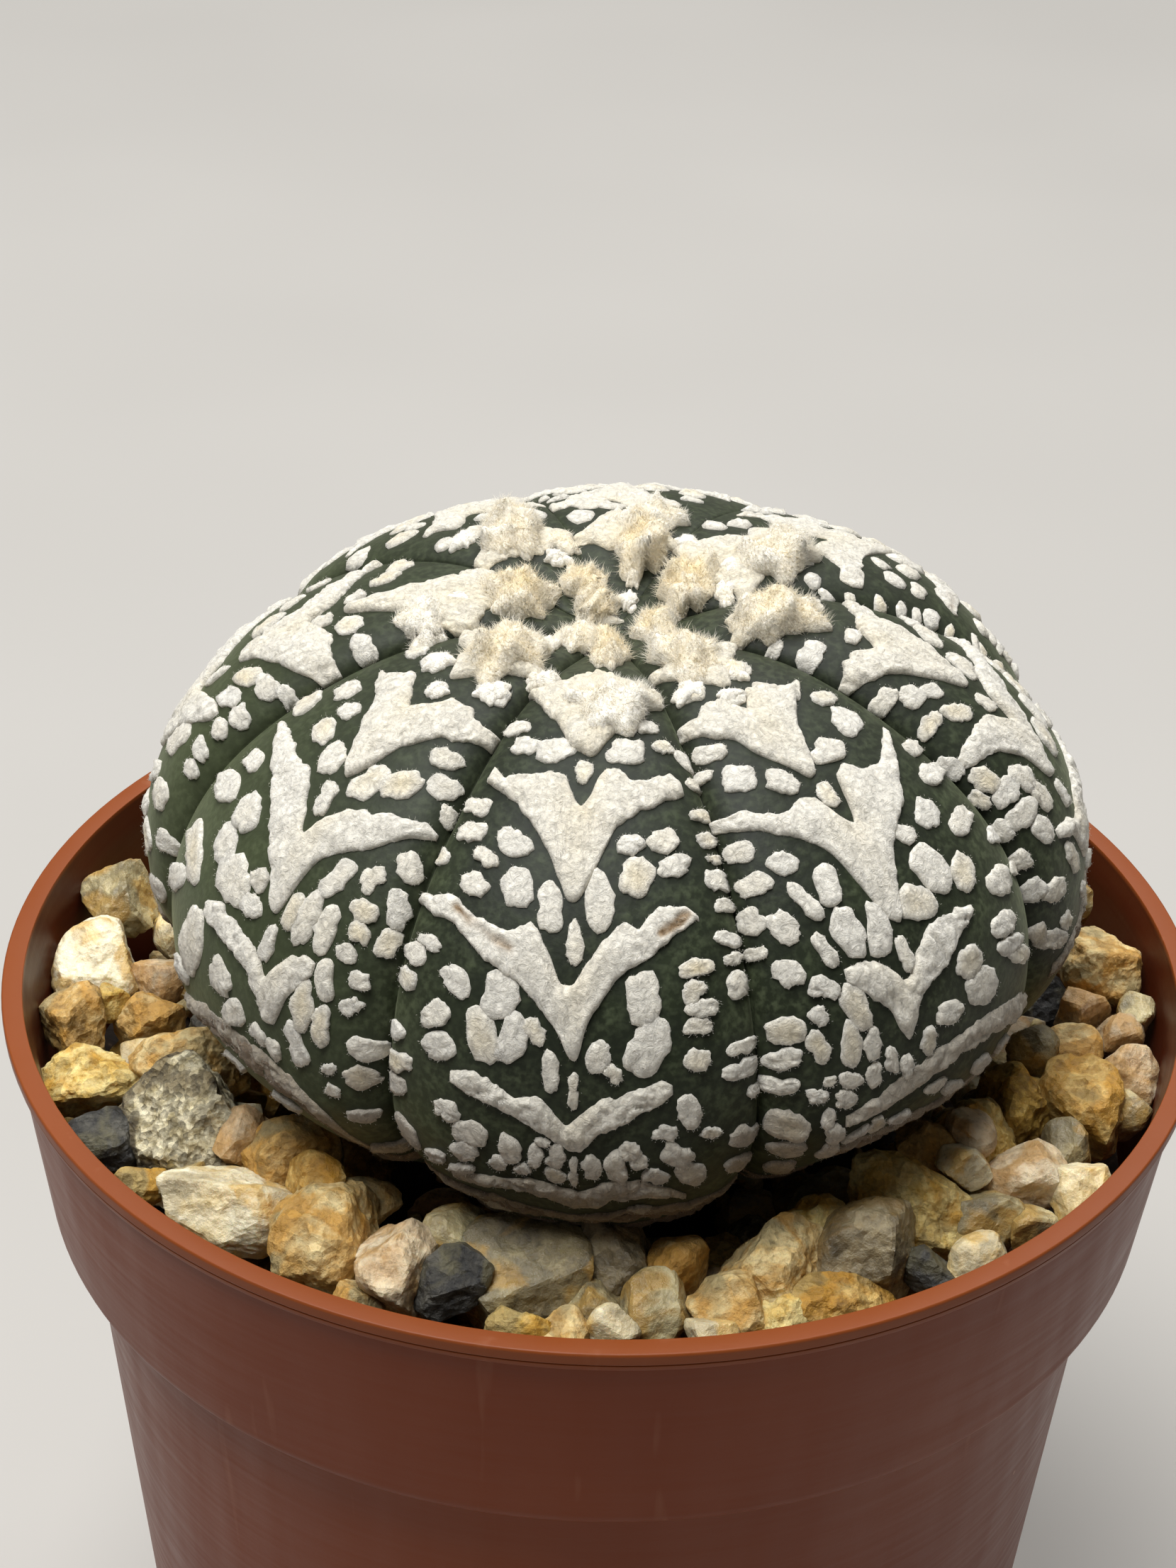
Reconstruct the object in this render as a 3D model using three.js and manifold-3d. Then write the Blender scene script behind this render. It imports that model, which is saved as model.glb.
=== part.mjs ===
// Potted star cactus: a ribbed round body with raised white chevrons and flecks, in a small plastic pot.
// Millimetres, +Z up, origin at the centre of the pot's underside. The front of the plant faces -Y.
import * as THREE from "three";
import { ConvexGeometry } from "three/addons/geometries/ConvexGeometry.js";
import { ParametricGeometry } from "three/addons/geometries/ParametricGeometry.js";
import { mergeVertices } from "three/addons/utils/BufferGeometryUtils.js";
import Module from "manifold-3d";

// Pot
const POT_HEIGHT = 64;
const RIM_RADIUS = 35;
const LIP_HEIGHT = 1.1;
const LIP_STEP = 0.45;
const WALL = 1.2;
const COLLAR_HEIGHT = 13.6;
const COLLAR_FOOT_RADIUS = 33.1;
const COLLAR_STEP = 1.9;
const BASE_RADIUS = 27.1;
const FOOT_RING_WIDTH = 2.8;
const FOOT_RING_HEIGHT = 1.2;
const FLOOR = 1.8;
const DRAIN_HOLES = 6;
const DRAIN_RADIUS = 2.4;
const DRAIN_CIRCLE = 16;
const POT_SIDES = 48;

// Filling
const GAP = 0.32;
const SOIL_TOP = 52.4;
const ROOT_AXIS = [1.0, 1.1];
const ROOT_TOP_RADIUS = 6.6;
const ROOT_TIP_RADIUS = 1.3;
const ROOT_TIP_Z = 24;
const ROOT_FLARE = { z: 55.2, radius: 9 };
const GRIT_BOTTOM = SOIL_TOP + GAP;
const GRIT_BED_TOP = 57.2;
const GRIT_TOP = 60;
const STONES = 104;
const STONE_RING = [17, 31.4];
const STONE_RADIUS = [2.2, 3.9];
const STONE_POINTS = 9;
const GOLDEN_ANGLE = 2.39996;
const BELLY_CLEARANCE = 0.9;
const BELLY_SHARES = [1, 0.93, 0.86, 0.78, 0.7, 0.6];

// Cactus body, as a profile turned about its own axis from the apex to the underside
const BODY_RADIUS = 27;
const CROWN_HEIGHT = 17.3;
const BELLY_DEPTH = 16.1;
const BODY_MIDDLE_Z = 71.2;
const LAST_ANGLE = THREE.MathUtils.degToRad(150);
const CROWN_POWER = 0.93;
const BELLY_POWER = 0.89;
const CROWN_HEIGHT_POWER = 0.885;
const DENT_DEPTH = 3;
const DENT_RADIUS = 7;
const BODY_OFFSET = [0.48, 0.38];
const LEAN_FORWARD = THREE.MathUtils.degToRad(3);
const LEAN_LEFT = THREE.MathUtils.degToRad(-2.2);

// Ribs: azimuths of the eight furrows in degrees, and where each rib's crest lies between its furrows (-1 to 1).
const FURROWS = [-166.5, -117, -72.5, -26, 10, 53, 100, 148];
const CRESTS = [0.3, 0.03, -0.2, -0.12, 0, 0.1, 0.12, 0.28];
const FURROW_DEPTH = 2.3;
const FURROW_POWER = 2.4;
const RIB_COLUMNS = [-1, -0.72, -0.44, -0.18, 0, 0.18, 0.44, 0.72];

// Chevrons, by their share of the way down the body: arm tips at the furrows, notch and point on the crest.
const CHEVRONS = [
  { tip: 0.1, notch: 0.085, point: 0.165 },
  { tip: 0.205, notch: 0.22, point: 0.31 },
  { tip: 0.33, notch: 0.385, point: 0.46 },
  { tip: 0.49, notch: 0.53, point: 0.58 },
  { tip: 0.65, notch: 0.64, point: 0.69 },
];
const RIB_SHIFTS = [-0.015, 0.02, -0.03, 0, -0.03, -0.045, -0.03, -0.03];
const ARM_WIDTH = 0.036;
const RELIEF = 0.6;
const RELIEF_EDGE = 0.006;
const FLECK_RADIUS = [0.95, 1.3];
const FLECK_SINK = 0.6;
const TUFT_RADIUS = 2.1;
const TUFT_PLACE = 0.075;
const CENTRE_TUFT_RADIUS = 1.5;

const wasm = await Module();
wasm.setup();

// Seeded draw between 0 and 1, the same on every run.
function seededDraw(seed) {
  let state = seed;
  return () => {
    state = (state + 0x6d2b79f5) | 0;
    let mixed = Math.imul(state ^ (state >>> 15), 1 | state);
    mixed = (mixed + Math.imul(mixed ^ (mixed >>> 7), 61 | mixed)) ^ mixed;
    return ((mixed ^ (mixed >>> 14)) >>> 0) / 4294967296;
  };
}

// A closed geometry as a solid with shared vertices.
function solidOf(geometry) {
  const bare = geometry.clone();
  bare.deleteAttribute("normal");
  bare.deleteAttribute("uv");
  const merged = mergeVertices(bare, 1e-4);
  const corners = Array.from(merged.index.array);
  const kept = [];
  for (let i = 0; i < corners.length; i += 3) {
    const [a, b, c] = corners.slice(i, i + 3);
    if (a !== b && b !== c && a !== c) kept.push(a, b, c);
  }
  return new wasm.Manifold(
    new wasm.Mesh({
      numProp: 3,
      vertProperties: new Float32Array(merged.attributes.position.array),
      triVerts: new Uint32Array(kept),
    }),
  );
}

function geometryOf(solid) {
  const mesh = solid.getMesh();
  const geometry = new THREE.BufferGeometry();
  geometry.setAttribute("position", new THREE.BufferAttribute(mesh.vertProperties, 3));
  geometry.setIndex(new THREE.BufferAttribute(mesh.triVerts, 1));
  geometry.computeVertexNormals();
  return geometry;
}

// The largest separate body of a solid: loose scraps drop away and sealed hollows fill.
function mainBody(solid) {
  return solid.decompose().reduce((best, body) => (body.volume() > best.volume() ? body : best));
}

// A solid turned about +Z from a closed outline of [radius, z] pairs, listed anticlockwise from the base.
function turned(outline, sides = POT_SIDES) {
  const points = outline.map(([radius, z]) => new THREE.Vector2(radius, z));
  const lathe = new THREE.LatheGeometry([...points, points[0]], sides);
  return solidOf(lathe.rotateX(Math.PI / 2));
}

// Outer radius of the pot's tapered wall under the collar.
function wallRadius(z) {
  const collarFoot = POT_HEIGHT - COLLAR_HEIGHT;
  return THREE.MathUtils.mapLinear(z, 0, collarFoot, BASE_RADIUS, COLLAR_FOOT_RADIUS - COLLAR_STEP);
}

// Inner outline of the pot above its floor, moved inwards by a clearance.
function potInside(clearance) {
  const collarFoot = POT_HEIGHT - COLLAR_HEIGHT;
  const inwards = WALL + clearance;
  return [
    [wallRadius(FLOOR) - inwards, FLOOR + FOOT_RING_HEIGHT + clearance],
    [wallRadius(collarFoot) - inwards, collarFoot - WALL],
    [COLLAR_FOOT_RADIUS - inwards, collarFoot + WALL / 2],
    [RIM_RADIUS - LIP_STEP - inwards, POT_HEIGHT - LIP_HEIGHT],
    [RIM_RADIUS - inwards, POT_HEIGHT - LIP_HEIGHT / 2],
  ];
}

function makePot() {
  const collarFoot = POT_HEIGHT - COLLAR_HEIGHT;
  const ringInner = BASE_RADIUS - FOOT_RING_WIDTH;
  const inside = potInside(0);
  const outline = [
    [0, FOOT_RING_HEIGHT],
    [ringInner - 0.6, FOOT_RING_HEIGHT],
    [ringInner, 0],
    [BASE_RADIUS - 0.4, 0],
    [BASE_RADIUS, 0.5],
    [wallRadius(collarFoot), collarFoot - 0.5],
    [COLLAR_FOOT_RADIUS - 0.3, collarFoot],
    [COLLAR_FOOT_RADIUS, collarFoot + 0.5],
    [RIM_RADIUS - LIP_STEP, POT_HEIGHT - LIP_HEIGHT - 0.25],
    [RIM_RADIUS, POT_HEIGHT - LIP_HEIGHT],
    [RIM_RADIUS, POT_HEIGHT - 0.25],
    [RIM_RADIUS - 0.25, POT_HEIGHT],
    [RIM_RADIUS - WALL + 0.2, POT_HEIGHT],
    ...inside.reverse(),
    [0, FLOOR + FOOT_RING_HEIGHT],
  ];
  let pot = turned(outline);
  for (let i = 0; i < DRAIN_HOLES; i++) {
    const angle = (i / DRAIN_HOLES) * 2 * Math.PI;
    const hole = new THREE.CylinderGeometry(DRAIN_RADIUS, DRAIN_RADIUS, 20, 10);
    hole.rotateX(Math.PI / 2);
    hole.translate(DRAIN_CIRCLE * Math.cos(angle), DRAIN_CIRCLE * Math.sin(angle), 0);
    pot = pot.subtract(solidOf(hole));
  }
  return pot;
}

// Radius of the pot's inside at a height over its floor, less a clearance.
function insideRadius(z, clearance) {
  const inside = potInside(clearance);
  const i = Math.min(Math.max(inside.findIndex((point) => point[1] > z), 1), inside.length - 1);
  const [below, above] = [inside[i - 1], inside[i]];
  return THREE.MathUtils.mapLinear(z, below[1], above[1], below[0], above[0]);
}

// Radius of the taproot at a height, widened by a clearance.
function rootRadius(z, clearance = 0) {
  const share = THREE.MathUtils.clamp((z - ROOT_TIP_Z) / (SOIL_TOP - ROOT_TIP_Z), 0, 1);
  return THREE.MathUtils.lerp(ROOT_TIP_RADIUS, ROOT_TOP_RADIUS, share ** 0.75) + clearance;
}

// A plain round hole for the taproot, from under its tip to above the potting mix.
function makeRootHole() {
  const heights = [ROOT_TIP_Z, 32, 42, SOIL_TOP, SOIL_TOP + 2];
  const sides = heights.map((z) => [rootRadius(z, GAP), z]);
  const outline = [[0, ROOT_TIP_Z - GAP], ...sides, [0, SOIL_TOP + 2]];
  return turned(outline, 20).translate([...ROOT_AXIS, 0]);
}

function makePottingMix() {
  const wall = potInside(GAP).slice(0, 3);
  const outline = [[0, wall[0][1]], ...wall, [insideRadius(SOIL_TOP, GAP), SOIL_TOP], [0, SOIL_TOP]];
  return turned(outline, 40).subtract(makeRootHole());
}

// Point of the body's smooth profile, and the outward direction there, at a share of the way down.
function profileAt(share) {
  const angle = share * LAST_ANGLE;
  const onCrown = angle < Math.PI / 2;
  const radius = BODY_RADIUS * Math.sin(angle) ** (onCrown ? CROWN_POWER : BELLY_POWER);
  const rise = Math.abs(Math.cos(angle));
  const height = onCrown ? CROWN_HEIGHT * rise ** CROWN_HEIGHT_POWER : -BELLY_DEPTH * rise;
  const dent = DENT_DEPTH * Math.exp(-((radius / DENT_RADIUS) ** 2));
  const outward = new THREE.Vector2(Math.sin(angle) / BODY_RADIUS, Math.cos(angle) / CROWN_HEIGHT);
  return { radius, z: BODY_MIDDLE_Z + height - dent, outward: outward.normalize() };
}

// Distance across a rib measured from its own crest, so that it is 0 there and 1 at either furrow.
function fromCrest(rib, across) {
  const crest = CRESTS[rib];
  return Math.min(Math.abs((across - crest) / (1 - crest * across)), 1);
}

function ribAzimuth(rib, across) {
  const start = FURROWS[rib];
  const end = rib === FURROWS.length - 1 ? FURROWS[0] + 360 : FURROWS[rib + 1];
  return THREE.MathUtils.degToRad(THREE.MathUtils.mapLinear(across, -1, 1, start, end));
}

// Point of the skin of a rib, lifted off it along the outward direction.
function skinPoint(rib, across, share, lift = 0) {
  const { radius, z, outward } = profileAt(share);
  const groove = 1 - Math.sqrt(1 - fromCrest(rib, across) ** FURROW_POWER);
  const fade = (radius / BODY_RADIUS) ** 0.7;
  const offset = lift - FURROW_DEPTH * fade * groove;
  const reach = Math.max(radius + offset * outward.x, 0);
  const azimuth = ribAzimuth(rib, across);
  const point = new THREE.Vector3(reach * Math.cos(azimuth), reach * Math.sin(azimuth), 0);
  point.z = z + offset * outward.y - BODY_MIDDLE_Z;
  point.applyAxisAngle(new THREE.Vector3(1, 0, 0), LEAN_FORWARD);
  point.applyAxisAngle(new THREE.Vector3(0, 1, 0), LEAN_LEFT);
  return point.add(new THREE.Vector3(BODY_OFFSET[0], BODY_OFFSET[1], BODY_MIDDLE_Z));
}

// Upper and lower edge of a chevron's band at a place across its rib.
function chevronBand(rib, chevron, across) {
  const inwards = 1 - fromCrest(rib, across);
  const { tip, notch, point } = chevron;
  const top = tip + (notch - tip) * inwards ** 1.3;
  const bottom = tip + ARM_WIDTH + (point - tip - ARM_WIDTH) * inwards ** 1.5;
  return { top: top + RIB_SHIFTS[rib], bottom: bottom + RIB_SHIFTS[rib] };
}

// Rows of the skin: each gives its share of the way down and whether it lies on a raised band.
function skinRows() {
  const rows = [
    () => ({ share: 0, raised: 0 }),
    () => ({ share: 0.03, raised: 0 }),
  ];
  for (const chevron of CHEVRONS) {
    for (const [edge, side, raised] of [["top", -1, 0], ["top", 1, 1], ["bottom", -1, 1], ["bottom", 1, 0]]) {
      rows.push((rib, across) => {
        const band = chevronBand(rib, chevron, across);
        return { share: band[edge] + side * RELIEF_EDGE, raised };
      });
    }
  }
  for (const share of [0.75, 0.82, 0.89, 0.95, 1]) rows.push(() => ({ share, raised: 0 }));
  return rows;
}

// The ribbed body with its raised chevrons, and the root collar and taproot that it grows from.
function makeSkin() {
  const rows = skinRows();
  const rootHeights = [ROOT_FLARE.z, SOIL_TOP, 42, 32, ROOT_TIP_Z, ROOT_TIP_Z];
  const columns = FURROWS.length * RIB_COLUMNS.length;
  const lastRow = rows.length + rootHeights.length - 1;
  const place = (u, v, target) => {
    const column = Math.round(u * columns) % columns;
    const row = Math.round((1 - v) * lastRow);
    const rib = Math.floor(column / RIB_COLUMNS.length);
    const across = RIB_COLUMNS[column % RIB_COLUMNS.length];
    if (row < rows.length) {
      const { share, raised } = rows[row](rib, across);
      const fade = fromCrest(rib, across) > 0.95 ? 0 : 1;
      target.copy(skinPoint(rib, across, share, RELIEF * raised * fade));
      return;
    }
    const z = rootHeights[row - rows.length];
    const radius = z === ROOT_FLARE.z ? ROOT_FLARE.radius : rootRadius(z) * (row < lastRow ? 1 : 0);
    const azimuth = ribAzimuth(rib, across);
    target.set(ROOT_AXIS[0] + radius * Math.cos(azimuth), ROOT_AXIS[1] + radius * Math.sin(azimuth), z);
  };
  return solidOf(new ParametricGeometry(place, columns, lastRow));
}

// A short bump standing on the skin: its point, and a turn that lays its axis along the outward direction.
function onSkin(geometry, rib, across, share) {
  const foot = skinPoint(rib, across, share);
  const outward = skinPoint(rib, across, share, 1).sub(foot).normalize();
  const turn = new THREE.Quaternion().setFromUnitVectors(new THREE.Vector3(0, 0, 1), outward);
  return solidOf(geometry.applyQuaternion(turn).translate(foot.x, foot.y, foot.z));
}

// Round flecks of felt between the chevrons, smaller and fewer at the crown, set by a seeded draw.
function makeFlecks() {
  const draw = seededDraw(11);
  const flecks = [];
  FURROWS.forEach((_, rib) => {
    CHEVRONS.slice(1).forEach((chevron, i) => {
      const places = i === 0 || i === 3 ? [-0.6, 0.6] : [-0.82, -0.5, 0.5, 0.82];
      for (const across of places) {
        const above = chevronBand(rib, CHEVRONS[i], across).bottom;
        const below = chevronBand(rib, chevron, across).top;
        const share = THREE.MathUtils.lerp(above, below, 0.42 + 0.16 * draw());
        const growth = 0.45 + (0.55 * profileAt(share).radius) / BODY_RADIUS;
        const radius = growth * THREE.MathUtils.lerp(...FLECK_RADIUS, draw());
        const height = RELIEF + FLECK_SINK;
        const fleck = new THREE.CylinderGeometry(radius * 0.8, radius, height, 5);
        fleck.rotateX(Math.PI / 2).rotateZ(draw() * Math.PI).translate(0, 0, height / 2 - FLECK_SINK);
        flecks.push(onSkin(fleck, rib, across + 0.08 * (draw() - 0.5), share));
      }
    });
  });
  return flecks;
}

// Cream wool tufts: one at the crown end of each rib and three in the dent at the centre.
function makeTufts() {
  const tufts = FURROWS.map((_, rib) => {
    const tuft = new THREE.IcosahedronGeometry(TUFT_RADIUS, 0).scale(1.25, 1, 0.75);
    return onSkin(tuft, rib, CRESTS[rib], TUFT_PLACE);
  });
  for (const rib of [0, 3, 5]) {
    const tuft = new THREE.IcosahedronGeometry(CENTRE_TUFT_RADIUS, 0);
    tufts.push(onSkin(tuft, rib, 0, TUFT_PLACE / 3));
  }
  return tufts;
}

function makeCactus() {
  const bumps = [...makeFlecks(), ...makeTufts()];
  return mainBody(bumps.reduce((body, bump) => body.add(bump), makeSkin()));
}

// A rough stone: the convex hull of seeded points on a flattened ball.
function makeStone(draw, radius) {
  const points = [];
  for (let i = 0; i < STONE_POINTS; i++) {
    const up = 1 - (2 * (i + 0.5)) / STONE_POINTS;
    const azimuth = i * GOLDEN_ANGLE + draw() * 0.7;
    const flat = Math.sqrt(1 - up * up);
    const reach = radius * (0.85 + 0.3 * draw());
    points.push(new THREE.Vector3(flat * Math.cos(azimuth), flat * Math.sin(azimuth), up).multiplyScalar(reach));
  }
  const stone = new ConvexGeometry(points).scale(1.25, 0.95, 0.8);
  return stone.rotateX(draw() * 0.8).rotateZ(draw() * Math.PI);
}

// The room that the grit may fill: inside the pot, clear of the cactus body and of its root.
function makeGritRoom() {
  const [low, high] = [GRIT_BOTTOM, POT_HEIGHT - LIP_HEIGHT];
  const room = turned([[0, low], [insideRadius(low, GAP), low], [insideRadius(high, GAP), high], [0, high]]);
  const belly = BELLY_SHARES.map((share) => profileAt(share));
  const under = belly.map(({ radius, z }) => [radius + BELLY_CLEARANCE, z - BELLY_CLEARANCE]);
  const root = ROOT_TOP_RADIUS + GAP;
  const flare = [ROOT_FLARE.radius + BELLY_CLEARANCE, ROOT_FLARE.z - 0.8];
  const foot = [[0, low - 1], [root, low - 1], flare];
  const bellyHull = turned([...foot, ...under, [0, under.at(-1)[1]]], 40);
  return room.subtract(bellyHull.translate([...ROOT_AXIS, 0]));
}

function makeGravel() {
  const draw = seededDraw(29);
  const outer = RIM_RADIUS;
  let gravel = turned([[4, GRIT_BOTTOM - 1], [outer, GRIT_BOTTOM - 1], [outer, GRIT_BED_TOP], [4, GRIT_BED_TOP]]);
  for (let i = 0; i < STONES; i++) {
    const reach = THREE.MathUtils.lerp(...STONE_RING, ((i + 0.5) / STONES) ** 0.7);
    const azimuth = i * GOLDEN_ANGLE + 0.2 * draw();
    const radius = THREE.MathUtils.lerp(...STONE_RADIUS, draw() ** 1.5);
    const top = GRIT_TOP + 1.6 * (draw() - 0.4);
    const stone = makeStone(draw, radius);
    stone.translate(reach * Math.cos(azimuth), reach * Math.sin(azimuth), top - radius * 0.8);
    gravel = gravel.add(solidOf(stone));
  }
  return mainBody(gravel.intersect(makeGritRoom()));
}

// One named mesh of the part.
function meshOf(name, solid, color, roughness) {
  const material = new THREE.MeshStandardMaterial({ color, roughness, metalness: 0 });
  const mesh = new THREE.Mesh(geometryOf(solid), material);
  mesh.name = name;
  return mesh;
}

const plant = new THREE.Group();
plant.add(
  meshOf("pot", makePot(), 0x9a4b2b, 0.45),
  meshOf("potting_mix", makePottingMix(), 0x3a2f28, 0.95),
  meshOf("gravel", makeGravel(), 0xb08a55, 0.7),
  meshOf("cactus", makeCactus(), 0x46523f, 0.6),
);

export default plant;
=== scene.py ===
import math

import bmesh
import bpy
import numpy as np
from mathutils import Matrix, Vector


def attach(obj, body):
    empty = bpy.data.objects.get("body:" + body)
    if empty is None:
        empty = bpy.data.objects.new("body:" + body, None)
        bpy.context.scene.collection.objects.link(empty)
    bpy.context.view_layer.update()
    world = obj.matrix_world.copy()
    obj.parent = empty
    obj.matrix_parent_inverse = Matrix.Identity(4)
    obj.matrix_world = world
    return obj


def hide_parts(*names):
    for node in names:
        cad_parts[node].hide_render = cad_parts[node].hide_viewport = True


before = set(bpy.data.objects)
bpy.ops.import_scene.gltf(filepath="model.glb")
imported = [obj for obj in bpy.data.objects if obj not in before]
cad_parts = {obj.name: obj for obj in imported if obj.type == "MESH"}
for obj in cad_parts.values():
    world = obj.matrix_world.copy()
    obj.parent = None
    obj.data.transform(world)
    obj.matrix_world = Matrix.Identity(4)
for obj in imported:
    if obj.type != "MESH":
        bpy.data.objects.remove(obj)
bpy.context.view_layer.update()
mm = 0.001
farAway = 99.0  # mm, more than any distance on the plant


def addObject(name, data):
    # A new object with that data, linked into the scene.
    thing = bpy.data.objects.new(name, data)
    bpy.context.scene.collection.objects.link(thing)
    return thing


cameraSettings = {
    "lens": 65.1,  # millimetres, on a 36 mm long side
    "sensorWidth": 36,
    "rimHeight": 64.0,  # mm, the point aimed at is the centre of the pot's rim
    "distance": 168.0,
    "sideways": -1.134,
    "upwards": 9.70,
    "elevation": 31.13,  # degrees
    "roll": 1.77,
    "clip": (0.01, 20),  # metres
}


def makeCamera(c):
    # Position = rim centre + distance along the view + shifts in the picture plane; axes turned by the roll.
    elevation, roll = math.radians(c["elevation"]), math.radians(c["roll"])
    back = np.array([0, -math.cos(elevation), math.sin(elevation)])
    right = np.array([1.0, 0, 0])
    up = np.cross(back, right)
    place = np.array([0, 0, c["rimHeight"]]) + back * c["distance"]
    place = place + right * c["sideways"] + up * c["upwards"]
    xAxis = right * math.cos(roll) + up * math.sin(roll)
    yAxis = up * math.cos(roll) - right * math.sin(roll)
    data = bpy.data.cameras.new("photoCamera")
    data.lens, data.sensor_width, data.sensor_fit = c["lens"], c["sensorWidth"], "AUTO"
    data.clip_start, data.clip_end = c["clip"]
    camera = addObject("photoCamera", data)
    camera.matrix_world = Matrix([
        [xAxis[i], yAxis[i], back[i], place[i] * mm] for i in range(3)] + [[0, 0, 0, 1]])
    bpy.context.scene.camera = camera


makeCamera(cameraSettings)
print("camera placed")


def toLinear(hexColour):
    # sRGB to linear: c/12.92 below 0.04045, else ((c+0.055)/1.055)^2.4
    parts = [int(hexColour[i:i + 2], 16) / 255 for i in (1, 3, 5)]
    return [c / 12.92 if c <= 0.04045 else ((c + 0.055) / 1.055) ** 2.4 for c in parts] + [1.0]


def addNode(tree, kind, inputs=None, stops=None, **settings):
    # A shader node with its settings, its inputs as values or links, and a ramp's stops.
    node = tree.nodes.new("ShaderNode" + kind)
    for name, value in settings.items():
        setattr(node, name, value)
    for socket, value in (inputs or {}).items():
        if isinstance(value, bpy.types.NodeSocket):
            tree.links.new(value, node.inputs[socket])
        else:
            node.inputs[socket].default_value = value
    for i, (place, colour) in enumerate(stops or []):
        elements = node.color_ramp.elements
        element = elements[i] if i < 2 else elements.new(place)
        element.position = place
        element.color = toLinear(colour) if isinstance(colour, str) else [colour] * 3 + [1]
    return node


def newMaterial(name):
    # An empty material and its node tree.
    material = bpy.data.materials.new(name)
    material.use_nodes = True
    material.node_tree.nodes.clear()
    return material, material.node_tree


def turned(a, b, angle):
    # The pair (a, b) turned by an angle in radians: a*cos - b*sin and a*sin + b*cos.
    return a * np.cos(angle) - b * np.sin(angle), a * np.sin(angle) + b * np.cos(angle)


def unit(v):
    return v / np.maximum(np.linalg.norm(v, axis=-1, keepdims=True), 1e-9)


def latticeNoise(points, size, seed):
    # Value noise: random numbers from -1 to 1 on a cubic lattice of that size, blended by f*f*(3-2f).
    q = np.asarray(points, float) / size + seed * 7.31
    cell = np.floor(q).astype(np.int64)
    f = q - cell
    f = f * f * (3 - 2 * f)
    total = np.zeros(q.shape[:-1])
    for corner in range(8):
        step = np.array([corner & 1, corner >> 1 & 1, corner >> 2 & 1])
        h = cell + step
        n = (h[..., 0] * 73856093) ^ (h[..., 1] * 19349663) ^ (h[..., 2] * 83492791) ^ (seed * 961748941)
        n = ((n ^ (n >> 13)) * 1274126177) & 0x7FFFFFFF
        n = ((n ^ (n >> 15)) * 668265263) & 0x7FFFFFFF
        weight = np.prod(np.where(step, f, 1 - f), axis=-1)
        total = total + weight * (((n >> 8) & 0xFFFF) / 32767.5 - 1)
    return total


def layeredNoise(points, size, seed, layers=3):
    # Sum of lattice noises, each layer half the size and half the strength of the one before.
    return sum(latticeNoise(points, size / 2 ** k, seed + k) / 2 ** k for k in range(layers))


def gridFaces(rows, columns, wrap=False):
    # Quads between neighbouring rows and columns of a grid, the last column joined to the first when
    # wrapped.
    i = np.arange(rows - 1)[:, None]
    j = np.arange(columns if wrap else columns - 1)[None, :]
    k = (j + 1) % columns
    quads = np.stack(np.broadcast_arrays(i * columns + j, i * columns + k,
                                         (i + 1) * columns + k, (i + 1) * columns + j), -1)
    return quads.reshape(-1, 4)


def repeatFaces(faces, count, points):
    # A face pattern once for each of count shapes that hold that many points.
    return (faces[None] + points * np.arange(count)[:, None, None]).reshape(-1, faces.shape[1])


def fanFaces(middle, start, count, turnedOver=False):
    # Triangles from one middle point to each pair of neighbours on a ring of points that begins at start.
    ring = np.arange(count)
    sides = [start + ring, start + (ring + 1) % count]
    return np.stack([np.full(count, middle)] + (sides[::-1] if turnedOver else sides), -1)


def buildPiece(name, points, faceSets, material, replaced, attributes=None, smooth=True):
    # Points in millimetres and faces as arrays of corner numbers, put into one mesh that rides on the root.
    mesh = bpy.data.meshes.new(name)
    mesh.vertices.add(len(points))
    mesh.vertices.foreach_set("co", (np.asarray(points) * mm).astype(np.float32).ravel())
    corners = np.concatenate([f.ravel() for f in faceSets])
    sizes = np.concatenate([np.full(len(f), f.shape[1]) for f in faceSets])
    mesh.loops.add(len(corners))
    mesh.loops.foreach_set("vertex_index", corners.astype(np.int32))
    mesh.polygons.add(len(sizes))
    mesh.polygons.foreach_set("loop_start", (np.cumsum(sizes) - sizes).astype(np.int32))
    mesh.update(calc_edges=True)
    mesh.polygons.foreach_set("use_smooth", np.full(len(sizes), smooth))
    for label, values in (attributes or {}).items():
        layer = mesh.attributes.new(label, "FLOAT", "POINT")
        layer.data.foreach_set("value", np.asarray(values, np.float32).ravel())
    mesh.materials.append(material)
    piece = addObject(name, mesh)
    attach(piece, "root")
    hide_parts(replaced)
    print(name, len(points), "points", int((sizes - 2).sum()), "triangles")
    return piece


bodySettings = {
    "radius": 27.0,
    "crownHeight": 17.3,
    "bellyDepth": 16.1,
    "middleHeight": 71.2,
    "lastAngle": 150.0,  # degrees from the apex to the underside, where s is 1
    "crownPower": 0.93,
    "bellyPower": 0.89,
    "crownHeightPower": 0.885,
    "dentDepth": 3.0,
    "dentRadius": 7.0,
    "offset": (0.48, 0.38),
    "leanForward": 3.0,
    "leanLeft": -2.2,
    "furrowDepth": 2.3,
    "furrowPower": 2.4,
    "furrowFade": 0.7,  # power by which a furrow grows shallower with the body's radius
    "backEase": 0.7,  # how much shallower the furrows are over the back of the crown
    "backTurn": (2, 0.4),  # how soon that sets in round the body
    "backDown": (0.5, 0.15),  # s where it ends, and the span of s in which it fades
    "tucks": [(2.2, -150.0, 34.0), (2.2, -52.0, 19.0)],  # mm drawn in below the felt, azimuth and spread
    "tuckDown": (0.62, 0.16),  # s where the tucks begin, and the span of s in which they grow
    "tuckPower": 1.3,
    "unevenness": 0.14,
    "unevenSize": 5.0,
    "steps": (0.002, 0.004),  # of s and u, for the surface's normal
    "furrowGap": 0.995,  # the largest |t| at which felt stands, so that no normal is taken in a furrow
}
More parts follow.
